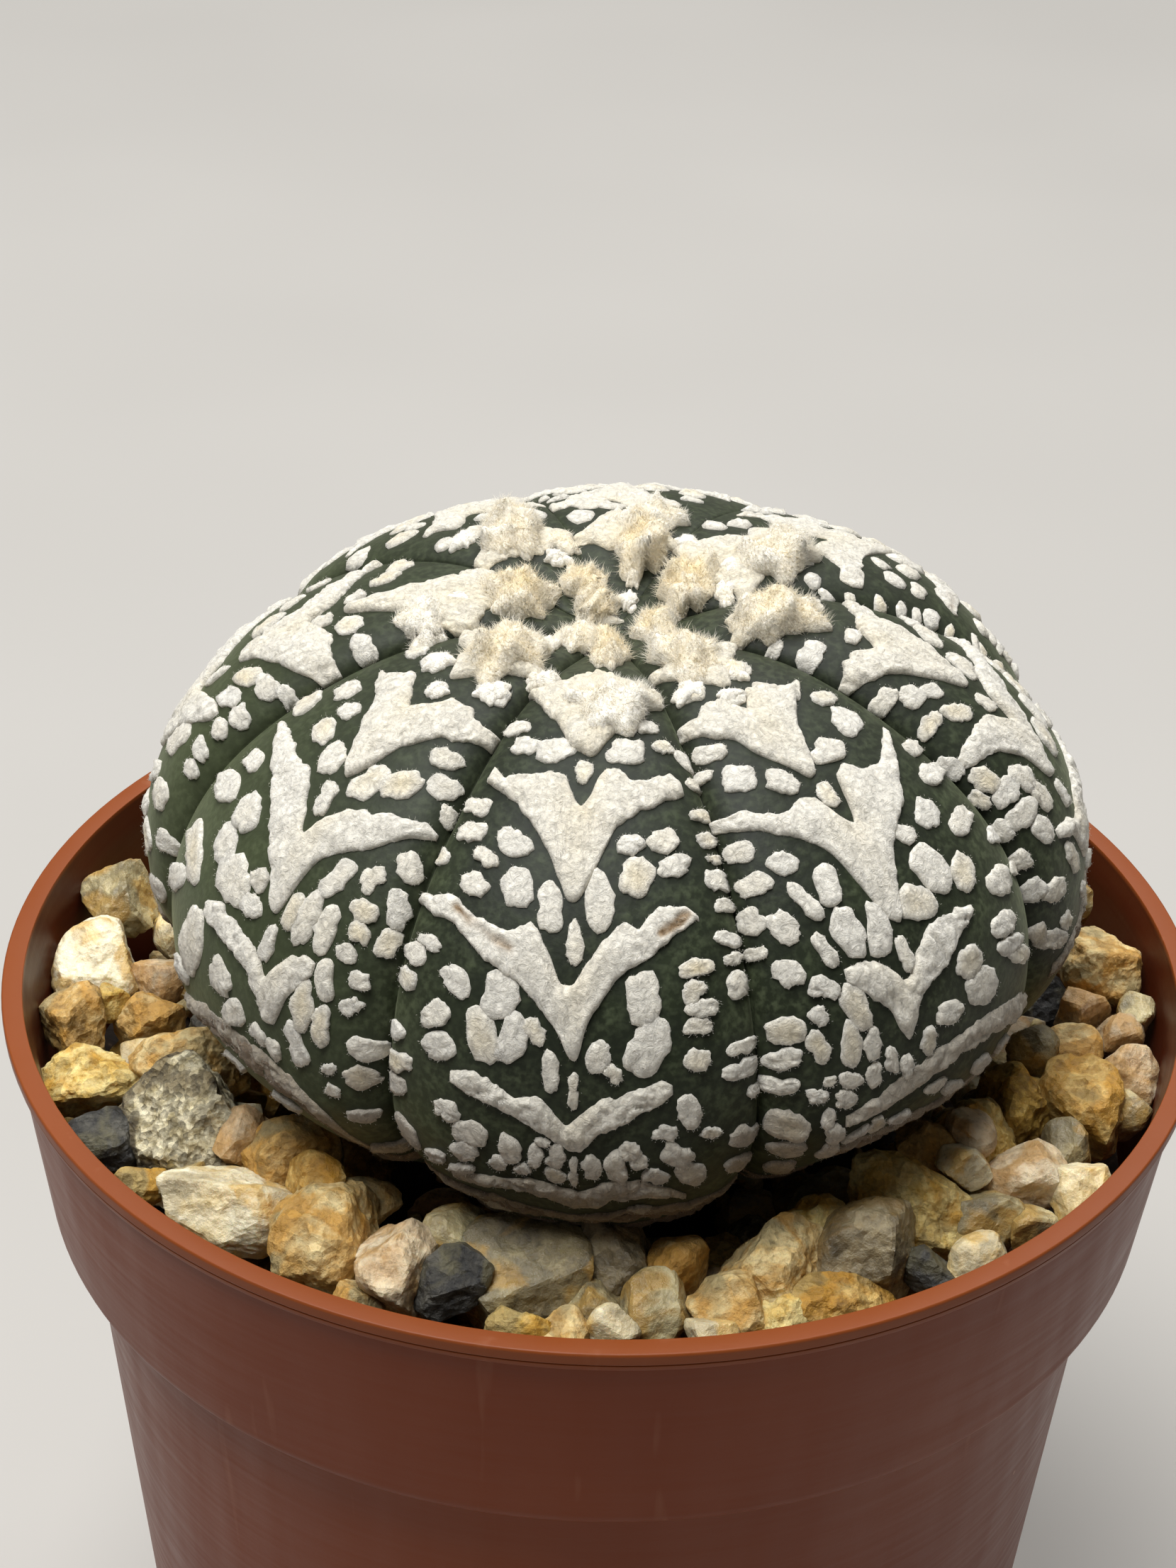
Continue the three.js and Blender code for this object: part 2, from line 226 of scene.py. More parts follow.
ribNames = ["frontLeft", "front", "frontRight", "right", "backRight", "back", "backLeft", "left"]
furrows = np.array([-166.5, -117.0, -72.5, -26.0, 12.0, 62.0, 107.0, 148.0])
crests = np.array([0.30, 0.03, -0.20, -0.12, 0.0, 0.10, 0.12, 0.28])
ribSpans = np.append(np.diff(furrows), furrows[0] + 360 - furrows[-1])


def bodyProfile(s):
    # Radius R*sin(th)^p and height +-H*|cos(th)|^q about the middle, less a round dent at the apex.
    b = bodySettings
    angle = math.radians(b["lastAngle"]) * np.asarray(s, float)
    upper = angle < math.pi / 2
    sine, cosine = np.abs(np.sin(angle)), np.abs(np.cos(angle))
    radius = b["radius"] * np.where(upper, sine ** b["crownPower"], sine ** b["bellyPower"])
    height = np.where(upper, b["crownHeight"] * cosine ** b["crownHeightPower"], -b["bellyDepth"] * cosine)
    height = b["middleHeight"] + height - b["dentDepth"] * np.exp(-(radius / b["dentRadius"]) ** 2)
    outward = np.stack([np.sin(angle) / b["radius"], np.cos(angle) / b["crownHeight"]], -1)
    return radius, height, outward / np.linalg.norm(outward, axis=-1, keepdims=True)


def leanBody(p):
    # Turned forward about X, then left about Y, both about the middle of the body, and moved off the axis.
    b = bodySettings
    f, g, z0 = math.radians(b["leanForward"]), math.radians(b["leanLeft"]), b["middleHeight"]
    x, y, z = p[..., 0], p[..., 1], p[..., 2] - z0
    y, z = turned(y, z, f)
    z, x = turned(z, x, g)
    return np.stack([x + b["offset"][0], y + b["offset"][1], z + z0], -1)


def unleanBody(p):
    # The reverse of leanBody.
    b = bodySettings
    f, g, z0 = math.radians(b["leanForward"]), math.radians(b["leanLeft"]), b["middleHeight"]
    x, y, z = p[..., 0] - b["offset"][0], p[..., 1] - b["offset"][1], p[..., 2] - z0
    x, z = turned(x, z, g)
    z, y = turned(z, y, f)
    return np.stack([x, y, z + z0], -1)


def bodySurface(s, u):
    # Profile less the furrow, depth*(1-sqrt(1-|t|^m)), t from -1 to 1 across a rib with its crest shifted,
    # and less the tucks, each k*w^p*exp(-(turn/spread)^2) with w growing from 0 to 1 down the underside. u
    # is the rib's number plus the share of the way across it.
    b = bodySettings
    s, u = np.broadcast_arrays(np.asarray(s, float), np.asarray(u, float))
    rib = np.floor(u).astype(int) % 8
    share = u - np.floor(u)
    azimuth = furrows[rib] + share * ribSpans[rib]
    t = 2 * share - 1
    shifted = np.clip(np.abs((t - crests[rib]) / (1 - crests[rib] * t)), 0, 1)
    groove = 1 - np.sqrt(1 - shifted ** b["furrowPower"])
    behind = np.clip(np.sin(np.radians(azimuth)) * b["backTurn"][0] - b["backTurn"][1], 0, 1)
    above = np.clip((b["backDown"][0] - s) / b["backDown"][1], 0, 1)
    groove = groove * (1 - b["backEase"] * behind * above)
    radius, height, outward = bodyProfile(s)
    depth = b["furrowDepth"] * np.clip(radius / b["radius"], 0, 1) ** b["furrowFade"] * groove
    below = np.clip((s - b["tuckDown"][0]) / b["tuckDown"][1], 0, 1) ** b["tuckPower"]
    for tuck, middle, spread in b["tucks"]:
        away = (azimuth - middle + 180) % 360 - 180
        depth = depth + tuck * below * np.exp(-(away / spread) ** 2)
    azimuth = np.radians(azimuth)
    radius, height = radius - depth * outward[..., 0], height - depth * outward[..., 1]
    p = np.stack([radius * np.cos(azimuth), radius * np.sin(azimuth), height], -1)
    p = p * (1 + b["unevenness"] / b["radius"] * latticeNoise(p, b["unevenSize"], 3)[..., None] *
             np.array([1, 1, 0]))
    return leanBody(p)


def skinAt(s, u):
    # Surface points and their unit normals, from the cross product of two small steps on the surface.
    s, u = np.broadcast_arrays(np.asarray(s, float), np.asarray(u, float))
    ds, du = bodySettings["steps"]
    inward = np.where(u - np.floor(u) > 0.5, -du, du)  # steps towards the crest, never over a furrow
    here = bodySurface(s, u)
    down = bodySurface(s + ds, u) - here
    across = (bodySurface(s, u + inward) - here) * np.sign(inward)[..., None]
    return here, unit(np.cross(down, across))


def onRib(s, t, rib):
    # Points and normals of the bare skin at t across a rib and s down it.
    widest = bodySettings["furrowGap"]
    return skinAt(s, rib + (np.clip(t, -widest, widest) + 1) / 2)


def sizesAt(s, rib):
    # Millimetres for one unit of t across the rib, and for one unit of s down it.
    step = 0.01
    radius, height, _ = bodyProfile(s)
    further, lower, _ = bodyProfile(np.asarray(s) + step)
    across = np.maximum(radius, 0.5) * np.radians(ribSpans[rib]) / 2
    return across, np.hypot(further - radius, lower - height) / step


def band(cream, thick, top, bottom, grey=0.0, dry=()):
    # A chevron between its top and bottom curve of (t, s) points. Cream and grey are shares of those tints,
    # thick is in mm, and dry is a path of pairs of points along dried, split felt.
    return {"cream": cream, "thick": thick, "top": top, "bottom": bottom, "grey": grey, "dry": dry}


# The felt pattern, read off the photograph rib by rib. t runs from -1 to 1 between a rib's furrows, and s
# from 0 at the apex to 1 at the underside. A fleck is (t, s, length, breadth, heading): millimetres, and
# degrees from across the rib to down it.
ribChevrons = {
    "front": [
        band(.3, .6, [(-1, .118), (-.6, .113), (-.3, .098), (0, .088), (.3, .098), (.6, .113), (.98, .118)],
             [(-1, .127), (-.69, .141), (-.41, .161), (-.255, .176), (-.15, .19), (.02, .2), (.1, .193),
              (.18, .181), (.28, .17), (.385, .153), (.59, .145), (.98, .127)]),
        band(.14, .5, [(-.84, .214), (-.69, .225), (-.5, .221), (-.31, .214), (-.15, .222), (-.08, .237),
              (0, .252), (.06, .237), (.1, .22), (.2, .209), (.3, .209), (.38, .217), (.55, .222),
              (.75, .212), (.82, .226)],
             [(-.84, .232), (-.51, .25), (-.31, .275), (-.2, .293), (-.1, .32), (-.03, .341), (.04, .342),
              (.1, .315), (.18, .29), (.28, .266), (.49, .25), (.82, .236)]),
        band(.06, .45, [(-1, .348), (-.74, .35), (-.55, .362), (-.36, .372), (-.25, .364), (-.17, .372),
              (-.1, .395), (-.05, .42), (.03, .42), (.08, .402), (.18, .376), (.28, .36), (.38, .368),
              (.44, .355), (.5, .345), (.68, .346), (.74, .356)],
             [(-1, .36), (-.74, .37), (-.51, .397), (-.28, .422), (-.13, .448), (-.03, .475), (.02, .502),
              (.06, .5), (.1, .462), (.18, .44), (.28, .412), (.49, .388), (.64, .37),
              (.74, .358)], dry=[(-.7, .358), (-.33, .39), (.5, .372), (.68, .354)]),
        band(.1, .42, [(-.58, .53), (-.46, .523), (-.34, .533), (-.25, .545), (-.13, .54), (-.06, .555),
              (0, .574), (.08, .558), (.15, .545), (.26, .543), (.35, .533), (.46, .522), (.52, .53)],
             [(-.58, .542), (-.4, .558), (-.25, .567), (-.1, .583), (0, .6), (.07, .6), (.14, .585),
              (.3, .567), (.45, .552), (.52, .54)]),
        band(.3, .3, [(-.62, .69), (-.45, .668), (-.25, .656), (-.1, .655), (0, .668), (.08, .67),
              (.17, .652), (.35, .652), (.5, .672), (.6, .7)],
             [(-.62, .703), (-.45, .69), (-.25, .683), (-.1, .69), (.02, .713), (.12, .71), (.22, .69),
              (.4, .69), (.52, .697), (.6, .712)], .5),
        band(.4, .3, [(-.95, .77), (-.7, .725), (-.4, .712), (0, .735), (.4, .716), (.7, .73), (.95, .76)],
             [(-.95, .79), (-.7, .745), (-.4, .732), (0, .75), (.4, .735), (.7, .75), (.95, .78)], .8),
    ],
    "frontLeft": [
        band(.3, .6, [(-1, .098), (-.5, .094), (0, .083), (.13, .08), (.5, .086), (1, .098)],
             [(-1, .112), (-.56, .12), (-.3, .119), (-.1, .135), (.05, .15), (.15, .153), (.25, .143),
              (.4, .131), (.55, .12), (.8, .112), (1, .105)]),
        band(.14, .5, [(-.6, .187), (-.46, .186), (-.28, .168), (-.08, .178), (.05, .19), (.13, .197),
              (.2, .19), (.3, .18), (.38, .17), (.66, .169), (.75, .182), (1, .18)],
             [(-.6, .192), (-.3, .207), (-.13, .225), (0, .248), (.12, .27), (.2, .28), (.27, .268),
              (.38, .235), (.59, .211), (.85, .2), (1, .196)]),
        band(.06, .45, [(-.77, .29), (-.51, .29), (-.35, .292), (-.1, .298), (.02, .308), (.12, .33),
              (.19, .352), (.23, .352), (.27, .325), (.38, .307), (.5, .303), (.7, .293), (.88, .286),
              (.96, .292)],
             [(-.77, .297), (-.55, .31), (-.38, .325), (-.13, .348), (.03, .375), (.18, .405), (.27, .437),
              (.32, .437), (.36, .385), (.4, .362), (.5, .347), (.64, .333), (.79, .312), (.96, .297)]),
        band(.05, .42, [(-.18, .472), (-.05, .463), (.1, .469), (.22, .475), (.3, .49), (.36, .502),
              (.4, .49), (.47, .468), (.55, .457), (.62, .462)],
             [(-.18, .488), (-.02, .495), (.12, .498), (.25, .508), (.34, .53), (.4, .548), (.46, .55),
              (.5, .52), (.56, .495), (.62, .475)]),
        band(.3, .3, [(-.5, .65), (-.35, .617), (-.1, .592), (.15, .586), (.4, .588), (.62, .61),
              (.72, .64), (.79, .7), (.82, .73)],
             [(-.5, .665), (-.35, .64), (-.1, .613), (.15, .602), (.4, .606), (.6, .64), (.7, .67),
              (.78, .72), (.82, .745)], .6),
    ],
    "frontRight": [
        band(.3, .6, [(-1, .09), (-.6, .088), (-.3, .078), (0, .078), (.5, .085), (1, .09)],
             [(-1, .1), (-.8, .107), (-.6, .115), (-.4, .13), (-.25, .14), (-.15, .14), (0, .128),
              (.2, .118), (.5, .11), (1, .1)]),
        band(.14, .5, [(-1, .163), (-.77, .161), (-.63, .15), (-.45, .15), (-.35, .165), (-.27, .173),
              (-.18, .165), (-.1, .152), (.12, .149), (.2, .16), (.35, .167), (.55, .166)],
             [(-1, .176), (-.77, .184), (-.56, .199), (-.42, .22), (-.3, .238), (-.2, .256), (-.14, .256),
              (-.05, .23), (.03, .208), (.15, .194), (.3, .186), (.55, .172)]),
        band(.06, .45, [(-1, .26), (-.9, .264), (-.77, .262), (-.66, .272), (-.56, .28), (-.38, .269),
              (-.25, .277), (-.18, .3), (-.14, .313), (-.1, .313), (-.05, .285), (0, .262), (.13, .26),
              (.22, .272), (.4, .273), (.62, .26), (.8, .25)],
             [(-1, .272), (-.85, .28), (-.71, .289), (-.51, .306), (-.36, .33), (-.28, .37), (-.22, .41),
              (-.14, .417), (-.09, .39), (-.03, .37), (.04, .348), (.15, .332), (.3, .318), (.49, .289),
              (.64, .274), (.8, .256)]),
        band(.05, .42, [(-.54, .442), (-.44, .44), (-.35, .443), (-.28, .462), (-.24, .478), (-.2, .478),
              (-.13, .455), (-.02, .436), (.08, .43), (.2, .436), (.34, .442)],
             [(-.54, .455), (-.42, .483), (-.34, .5), (-.3, .53), (-.26, .546), (-.2, .522), (-.17, .5),
              (-.05, .488), (.1, .475), (.24, .461), (.34, .45)]),
        band(.2, .36, [(-.61, .603), (-.45, .592), (-.36, .585), (-.25, .578), (-.1, .57), (.1, .57),
              (.3, .571), (.5, .58), (.7, .6), (.9, .64)],
             [(-.61, .62), (-.45, .61), (-.3, .604), (-.1, .594), (.1, .592), (.3, .597), (.5, .612),
              (.7, .635), (.9, .665)], .4),
        band(.4, .3, [(-.6, .668), (-.4, .655), (-.1, .655), (.2, .668), (.5, .69), (.8, .72)],
             [(-.6, .682), (-.4, .675), (-.1, .672), (.2, .685), (.5, .706), (.8, .735)], .8),
    ],
    "right": [
        band(.3, .6, [(-1, .093), (-.6, .09), (-.28, .082), (0, .085), (.5, .09), (1, .095)],
             [(-1, .105), (-.7, .115), (-.5, .135), (-.35, .158), (-.22, .165), (-.1, .15), (.1, .135),
              (.4, .118), (1, .105)]),
        band(.14, .5, [(-1, .195), (-.77, .188), (-.51, .188), (-.4, .198), (-.3, .206), (-.15, .196),
              (0, .186), (.3, .186), (.7, .18)],
             [(-1, .206), (-.64, .223), (-.43, .246), (-.28, .275), (-.18, .3), (-.08, .3), (.05, .27),
              (.23, .237), (.38, .213), (.7, .192)]),
        band(.06, .45, [(-.91, .325), (-.6, .318), (-.42, .322), (-.3, .335), (-.22, .352), (-.16, .352),
              (-.1, .33), (.1, .31), (.5, .308), (.85, .3)],
             [(-.91, .338), (-.6, .355), (-.42, .385), (-.34, .425), (-.26, .43), (-.18, .405), (-.05, .38),
              (.2, .35), (.5, .33), (.85, .312)]),
        band(.05, .42, [(-.6, .47), (-.4, .475), (-.25, .5), (-.1, .48), (.3, .462), (.55, .46)],
             [(-.6, .482), (-.4, .5), (-.26, .55), (-.16, .55), (0, .515), (.3, .487), (.55, .473)]),
        band(.2, .3, [(-.8, .63), (-.5, .61), (-.2, .6), (.2, .6), (.6, .62), (.85, .65)],
             [(-.8, .65), (-.5, .632), (-.2, .622), (.2, .622), (.6, .645), (.85, .67)], .6),
    ],
    "left": [
        band(.25, .6, [(-1, .1), (-.4, .095), (0, .086), (.26, .084), (.6, .09), (1, .1)],
             [(-1, .115), (-.4, .125), (-.1, .15), (.1, .188), (.2, .215), (.27, .213), (.36, .185),
              (.52, .155), (.74, .134), (1, .118)]),
        band(.14, .5, [(-.9, .222), (-.5, .226), (-.1, .225), (.1, .235), (.24, .25), (.36, .238),
              (.55, .222), (1, .225)],
             [(-.9, .235), (-.5, .245), (-.1, .265), (.1, .29), (.24, .33), (.32, .33), (.4, .305),
              (.59, .283), (.74, .268), (1, .245)]),
        band(.06, .45, [(-.8, .35), (-.4, .355), (-.1, .358), (.1, .37), (.24, .4), (.36, .38), (.6, .36),
              (.72, .358)],
             [(-.8, .365), (-.4, .385), (-.1, .405), (.1, .43), (.24, .48), (.32, .48), (.4, .44),
              (.6, .395), (.72, .37)]),
        band(.05, .42, [(-.5, .52), (-.1, .52), (.1, .53), (.24, .555), (.36, .535), (.6, .52)],
             [(-.5, .535), (-.1, .55), (.1, .565), (.24, .6), (.32, .6), (.42, .57), (.6, .54)]),
        band(.3, .3, [(-.8, .66), (-.4, .63), (0, .62), (.4, .625), (.8, .65)],
             [(-.8, .68), (-.4, .652), (0, .642), (.4, .648), (.8, .67)], .6),
    ],
}
ribFlecks = {
    "front": [
        (-.82, .17, 1.6, 1.2, 0), (-.63, .19, 1.6, 1.3, 10), (-.29, .192, 2.1, 1.7, 0),
        (-.02, .214, 1.6, 1, 90), (.36, .19, 2, 1.7, 0), (.62, .165, 1.5, .9, 5), (.76, .186, 1.4, 1.2, 0),
        (.95, .198, 1.5, .8, 60), (.97, .222, 1.1, .8, 20), (-.84, .257, 1.9, 1.2, 5),
        (-.79, .284, 1.7, 1.3, 5), (-.45, .288, 2.1, 1.5, 35), (-.6, .307, 1.8, 1.1, 20),
        (-.63, .333, 1.9, 1.4, 20), (-.36, .33, 2.5, 1.7, 75), (-.13, .347, 2.8, 1.5, 72),
        (.155, .339, 3.4, 1.6, 85), (.02, .379, 2.6, .9, 90), (.36, .284, 1.5, 1.3, 0),
        (.59, .281, 1.7, 1.3, -20), (.385, .317, 2.4, 1.7, -70), (.65, .306, 2.1, 1.4, -30),
        (-.97, .31, 1.5, 1, 15), (.92, .256, 1.3, .8, 0), (.92, .279, 1.3, .9, 0), (.92, .299, 1.2, .7, 0),
        (.91, .321, 1.5, 1.4, 0), (.92, .346, 1.3, .8, -5), (.9, .382, 1.5, .8, 15),
        (.91, .402, 1.3, .8, 0), (.92, .432, 1.3, 1.5, 0), (-.82, .398, 1.7, 1, 10),
        (-.9, .414, 1.7, 1.3, 10), (-.61, .432, 2.4, 1.4, 38), (-.92, .444, 1.7, 1.3, 0),
        (-.355, .438, 2.7, 1.9, 85), (-.42, .484, 3.2, 1.9, 62), (-.27, .48, 3, 1.6, 105),
        (-.16, .469, 1.4, 1.1, 80), (-.7, .474, 2.1, 1.5, -40), (-.66, .509, 2, 1.5, -20),
        (-.95, .512, 1.3, 1, 0), (-.07, .512, 2.5, 1, 85), (.04, .533, 2.1, .65, 90),
        (.165, .497, 2, 1.1, -75), (.235, .512, 1.2, .9, 60), (.385, .436, 3.1, 2, -75),
        (.405, .486, 3.5, 2.1, -65), (.69, .409, 1.8, 1.1, -8), (.66, .431, 1.5, 1.1, -15),
        (.7, .449, 1.9, 1, -12), (.67, .468, 1.5, 1, -8), (.65, .504, 1.5, 1.3, 10), (.9, .503, 2, 1.2, 0),
        (.88, .53, 2.3, 1.2, 5), (.96, .565, 1.2, .8, 45), (-.91, .548, 2.2, 1.2, -20),
        (-.92, .577, 1.9, 1.2, -35), (-.61, .579, 1.6, 1.4, 0), (-.11, .592, 1, .7, 0),
        (-.48, .597, 2, 1.5, 0), (-.51, .628, 1.9, 1.5, -35), (-.28, .608, 1.8, 1.2, 85),
        (-.34, .634, 1.4, 1.1, -50), (-.21, .636, 1.3, .9, -20), (-.15, .616, 1.5, 1, -65),
        (-.05, .611, 1.5, 1, 90), (-.05, .638, 1.2, .9, 60), (.04, .634, 2.4, .65, 90),
        (.13, .625, 2.1, 1, 85), (.245, .625, 2.3, 1.1, 85), (.31, .599, 1.3, 1, 10),
        (.365, .617, 1.3, 1, 60), (.43, .643, 1.5, 1.1, 50), (.48, .584, 1.7, 1.4, 20),
        (.545, .614, 2.2, 1.4, 45), (.6, .563, 2.3, 1.3, 80), (.705, .592, 1.5, .9, 10),
        (.615, .652, 2.8, 1.5, 65), (.91, .62, 2.6, 1.6, 45), (-.87, .647, 2.7, 2, 90),
        (-.7, .665, 1.8, 1, -45), (-.56, .668, 2, 1, -30), (.88, .672, 2.4, 1.4, 50),
        (.35, .716, 1.4, .9, 30), (-.4, .75, 1.8, .9, 20),
    ],
    "frontLeft": [
        (-.29, .148, 2, 1.7, 0), (.17, .17, 1.3, 1.2, 0), (.67, .147, 2, 1.6, 0), (-.7, .155, 1.7, 1.3, 0),
        (-.61, .223, 2, 1.7, 0), (-.32, .234, 1.7, 1.3, 5), (-.84, .262, 2.5, 2, 20),
        (-.31, .262, 2.2, 1.5, 20), (-.02, .276, 2.4, 1.8, 45), (.185, .309, 2.2, 1.2, 80),
        (.37, .275, 2.6, 1.8, -70), (.59, .266, 2.5, 1.6, -50), (.755, .225, 1.8, 1.2, -12),
        (.86, .249, 1.7, 1.3, -15), (.95, .27, 1.2, .8, 70), (-.63, .338, 2.3, 1.6, 0),
        (-.66, .378, 4, 1.9, -12), (-.27, .372, 2.9, 2.2, 30), (-.27, .413, 2.6, 2, 20),
        (-.07, .433, 3.4, 2.5, 15), (.12, .414, 1.5, 1.2, 30), (.14, .442, 1.7, 1.4, 10),
        (.56, .372, 2.7, 1.5, -70), (.745, .357, 1.8, 1.2, -60), (.91, .334, 1.7, 1.3, 45),
        (.78, .39, 1.5, 1.2, -10), (.785, .413, 1.3, 1, 20), (.76, .437, 1.4, 1.1, 30),
        (.4, .422, 2.2, 1, 90), (.49, .422, 3.3, 1.4, 95), (.61, .424, 3, 1.4, 90),
        (.92, .375, 2.3, 1.1, 80), (.93, .415, 1.8, 1, 95), (.326, .467, 1.9, .9, 90),
        (.69, .474, 2, 1.1, 80), (.85, .462, 1.2, 1, 0), (.84, .493, 1.6, 1.1, -45),
        (.6, .512, 3.3, 1.3, 88), (.71, .525, 2.6, 1.2, 85), (-.55, .458, 4.6, 2.2, 20),
        (-.67, .512, 4.8, 1.6, -35), (-.25, .535, 4.6, 2.9, 100), (.06, .538, 2.3, 2, 30),
        (.18, .566, 2.4, 1.5, -40), (.36, .57, 1.4, 1.1, 30), (.46, .577, 1.4, 1, 80),
        (.59, .558, 2.8, 1.3, 60), (.76, .574, 1.1, 1, 0), (.77, .596, 1, .9, 0), (.92, .541, 1.9, 1.5, 20),
        (.9, .577, 2.1, 1.6, 0), (.9, .632, 2.1, 1.3, -10), (.92, .735, 2.2, 1.6, 70),
        (-.4, .59, 3, 1.6, -20), (.1, .65, 2.2, 1, 0), (.45, .66, 2, 1, 20),
    ],
    "frontRight": [
        (-.68, .132, 1.9, 1.6, 10), (-.27, .154, 1.5, 1.1, 0), (.13, .128, 1.8, 1.4, 10),
        (-.82, .199, 1.8, 1, 10), (-.69, .232, 2, 1.7, 0), (-.96, .217, 1.1, .8, 30),
        (-.41, .251, 1.9, 1.5, 30), (-.165, .277, 1.6, 1.1, 80), (.1, .24, 2.3, 1.6, 0),
        (.51, .225, 2.2, 1.7, -20), (.59, .195, 1.6, 1, 15), (-.9, .301, 1.5, 1.2, 0),
        (-.68, .322, 1.7, 1.2, 35), (-.87, .335, 1.7, 1.2, 20), (-.625, .365, 2.7, 1.1, 65),
        (-.47, .355, 2.4, 1.6, -78), (-.94, .367, 1.7, 1.2, 80), (-.78, .384, 1.9, 1.4, 70),
        (-.94, .401, 1, .8, 0), (-.61, .418, 2.3, 1, 70), (-.46, .408, 3.2, 1.7, 82),
        (-.29, .414, 2.9, 1.4, -76), (0, .41, 2.4, 1.9, 20), (.18, .344, 1.4, 1.1, 10),
        (.42, .341, 2.2, 1.7, -10), (.2, .387, 3.3, 2.3, 70), (.41, .408, 2.6, 2, -30),
        (.67, .368, 2.6, 1.4, 0), (.79, .315, 3, 1.2, 5), (-.82, .431, 2.1, 1.3, 55),
        (-.66, .457, 1.8, 1.2, 30), (-.19, .451, 2.1, .9, 90), (-.7, .483, 1.2, 1, 60),
        (-.73, .515, 2, 1, 80), (-.87, .495, 2.1, 1.6, 0), (-.89, .527, 1.9, 1.4, 0),
        (-.91, .559, 1.8, 1, -5), (-.52, .485, 2.9, 1.4, 75), (-.57, .523, 2.9, 1.2, 92),
        (-.46, .53, 2.1, 1, 95), (.67, .446, 3.1, 1.9, 15), (.2, .496, 2.5, 1.8, 20),
        (.27, .533, 3.2, 2.3, 40), (.55, .49, 3, 1.4, 18), (.57, .516, 3.2, 1.2, 20),
        (.67, .545, 4.4, 1.2, 33), (0, .536, 2.2, 1.3, 15), (-.15, .554, 1.7, 1.2, 80),
        (-.285, .571, 1.5, .8, 90), (-.365, .556, 1.7, 1, 70), (-.47, .566, 1.5, 1.1, 80),
        (-.585, .563, 1.5, 1.1, 60), (-.62, .584, 1.5, 1.1, 60), (-.755, .574, 1.1, .9, 0),
        (-.69, .56, .9, .7, 0), (-.7, .607, 1.3, .8, 90), (-.655, .633, 2.1, 1.1, 85),
        (-.66, .673, 2.4, 1.2, 95), (-.87, .612, 2.4, 2, 20), (-.87, .66, 2.1, 1.7, 0),
        (-.54, .643, 2, 1.1, -50), (-.44, .633, 1.4, 1, 80), (-.1, .613, 2, 1.1, 10),
        (.06, .641, 2.2, 1.1, 25), (.29, .642, 3, 1.3, 45), (.55, .66, 3.2, 1.2, 45),
        (-.3, .64, 1.5, 1, 20), (-.85, .72, 2.6, 1.7, 80), (.92, .41, 2.6, 1.1, 12),
        (.89, .285, 2.2, 1.1, 15), (.93, .46, 1.8, 1, 20),
    ],
    "right": [
        (-.8, .16, 1.9, 1.5, 0), (-.23, .186, 1.5, 1.1, 0), (-.93, .13, 1.3, 1, 0), (.5, .15, 1.8, 1.5, 0),
        (-.88, .235, 1.6, 1.2, 0), (-.69, .256, 1.7, 1.3, 20), (-.5, .268, 1.6, 1.2, 40),
        (.45, .262, 2.2, 1.6, -20), (-.8, .284, 1.7, 1.1, 0), (-.55, .3, 2, 1.3, 50),
        (-.22, .322, 1.5, 1, 80), (.12, .295, 2.3, 1.4, -60), (.7, .25, 1.8, 1.3, 0),
        (-.86, .362, 2.2, 1.2, 70), (-.79, .388, 2.3, 1.4, 0), (-.61, .393, 2.4, 1.3, 65),
        (-.8, .42, 2.5, 1.5, 10), (-.56, .424, 2.5, 1.4, 75), (-.71, .457, 2.2, 1.4, 60),
        (.05, .41, 2.6, 1.6, -70), (.3, .4, 2.8, 1.7, -60), (.55, .38, 2, 1.5, -20), (-.3, .455, 2, .9, 90),
        (.75, .36, 1.8, 1.2, 0), (.5, .43, 2, 1.5, 0), (.78, .42, 2, 1.2, 0), (-.5, .52, 2.4, 1.3, 70),
        (.1, .54, 2.2, 1.4, 0), (.4, .52, 2.6, 1.6, 20), (.75, .49, 2.2, 1.3, 0), (-.78, .53, 2, 1.4, 20),
        (.35, .57, 2.2, 1.2, 20), (-.05, .575, 1.6, 1, 0), (.7, .56, 2.4, 1.2, 20),
        (-.35, .58, 1.5, 1.1, 60), (-.7, .58, 1.5, 1.1, 40), (.93, .33, 1.4, .9, 0), (.92, .4, 1.4, .9, 0),
        (.92, .46, 1.4, .9, 0), (.92, .53, 1.6, 1, 0), (-.97, .325, 1.8, .7, 80),
        (-.965, .372, 1.8, .7, 85), (-.96, .42, 1.4, .8, 85), (-.95, .465, 1.7, 1, 80),
        (-.94, .512, 1.7, 1, 75), (-.84, .59, 2.6, 1.4, 35), (-.94, .575, 2, 1, 80),
    ],
    "left": [
        (.26, .116, 1.3, .9, 0), (.51, .206, 1.9, 1.6, 0), (.85, .197, 1.9, 1.6, 0),
        (-.02, .207, 1.8, 1.2, 40), (.29, .233, 1.4, 1, 90), (-.4, .19, 2, 1.5, 0),
        (-.75, .19, 1.8, 1.4, 0), (.79, .295, 2, 1.3, -20), (.59, .314, 2.3, 1.5, -40),
        (.95, .28, 1.4, 1, 0), (.87, .335, 1.8, 1.4, 0), (.67, .34, 2.1, 1.4, -30),
        (-.1, .31, 2.4, 1.6, 40), (-.4, .3, 2, 1.5, 10), (-.7, .29, 1.8, 1.4, 0), (.26, .365, 2.2, 1, 90),
        (.85, .362, 1.6, 1.2, 0), (.85, .395, 1.6, 1.2, 0), (.88, .42, 1.5, 1.1, 0),
        (.55, .43, 3, 1.8, -60), (0, .46, 3, 1.8, 50), (-.3, .44, 2.8, 1.8, 40), (-.6, .42, 2.2, 1.5, 10),
        (.74, .484, 2.2, 1.6, -20), (.93, .526, 2, 1.3, 0), (.5, .49, 2.2, 1.4, -50),
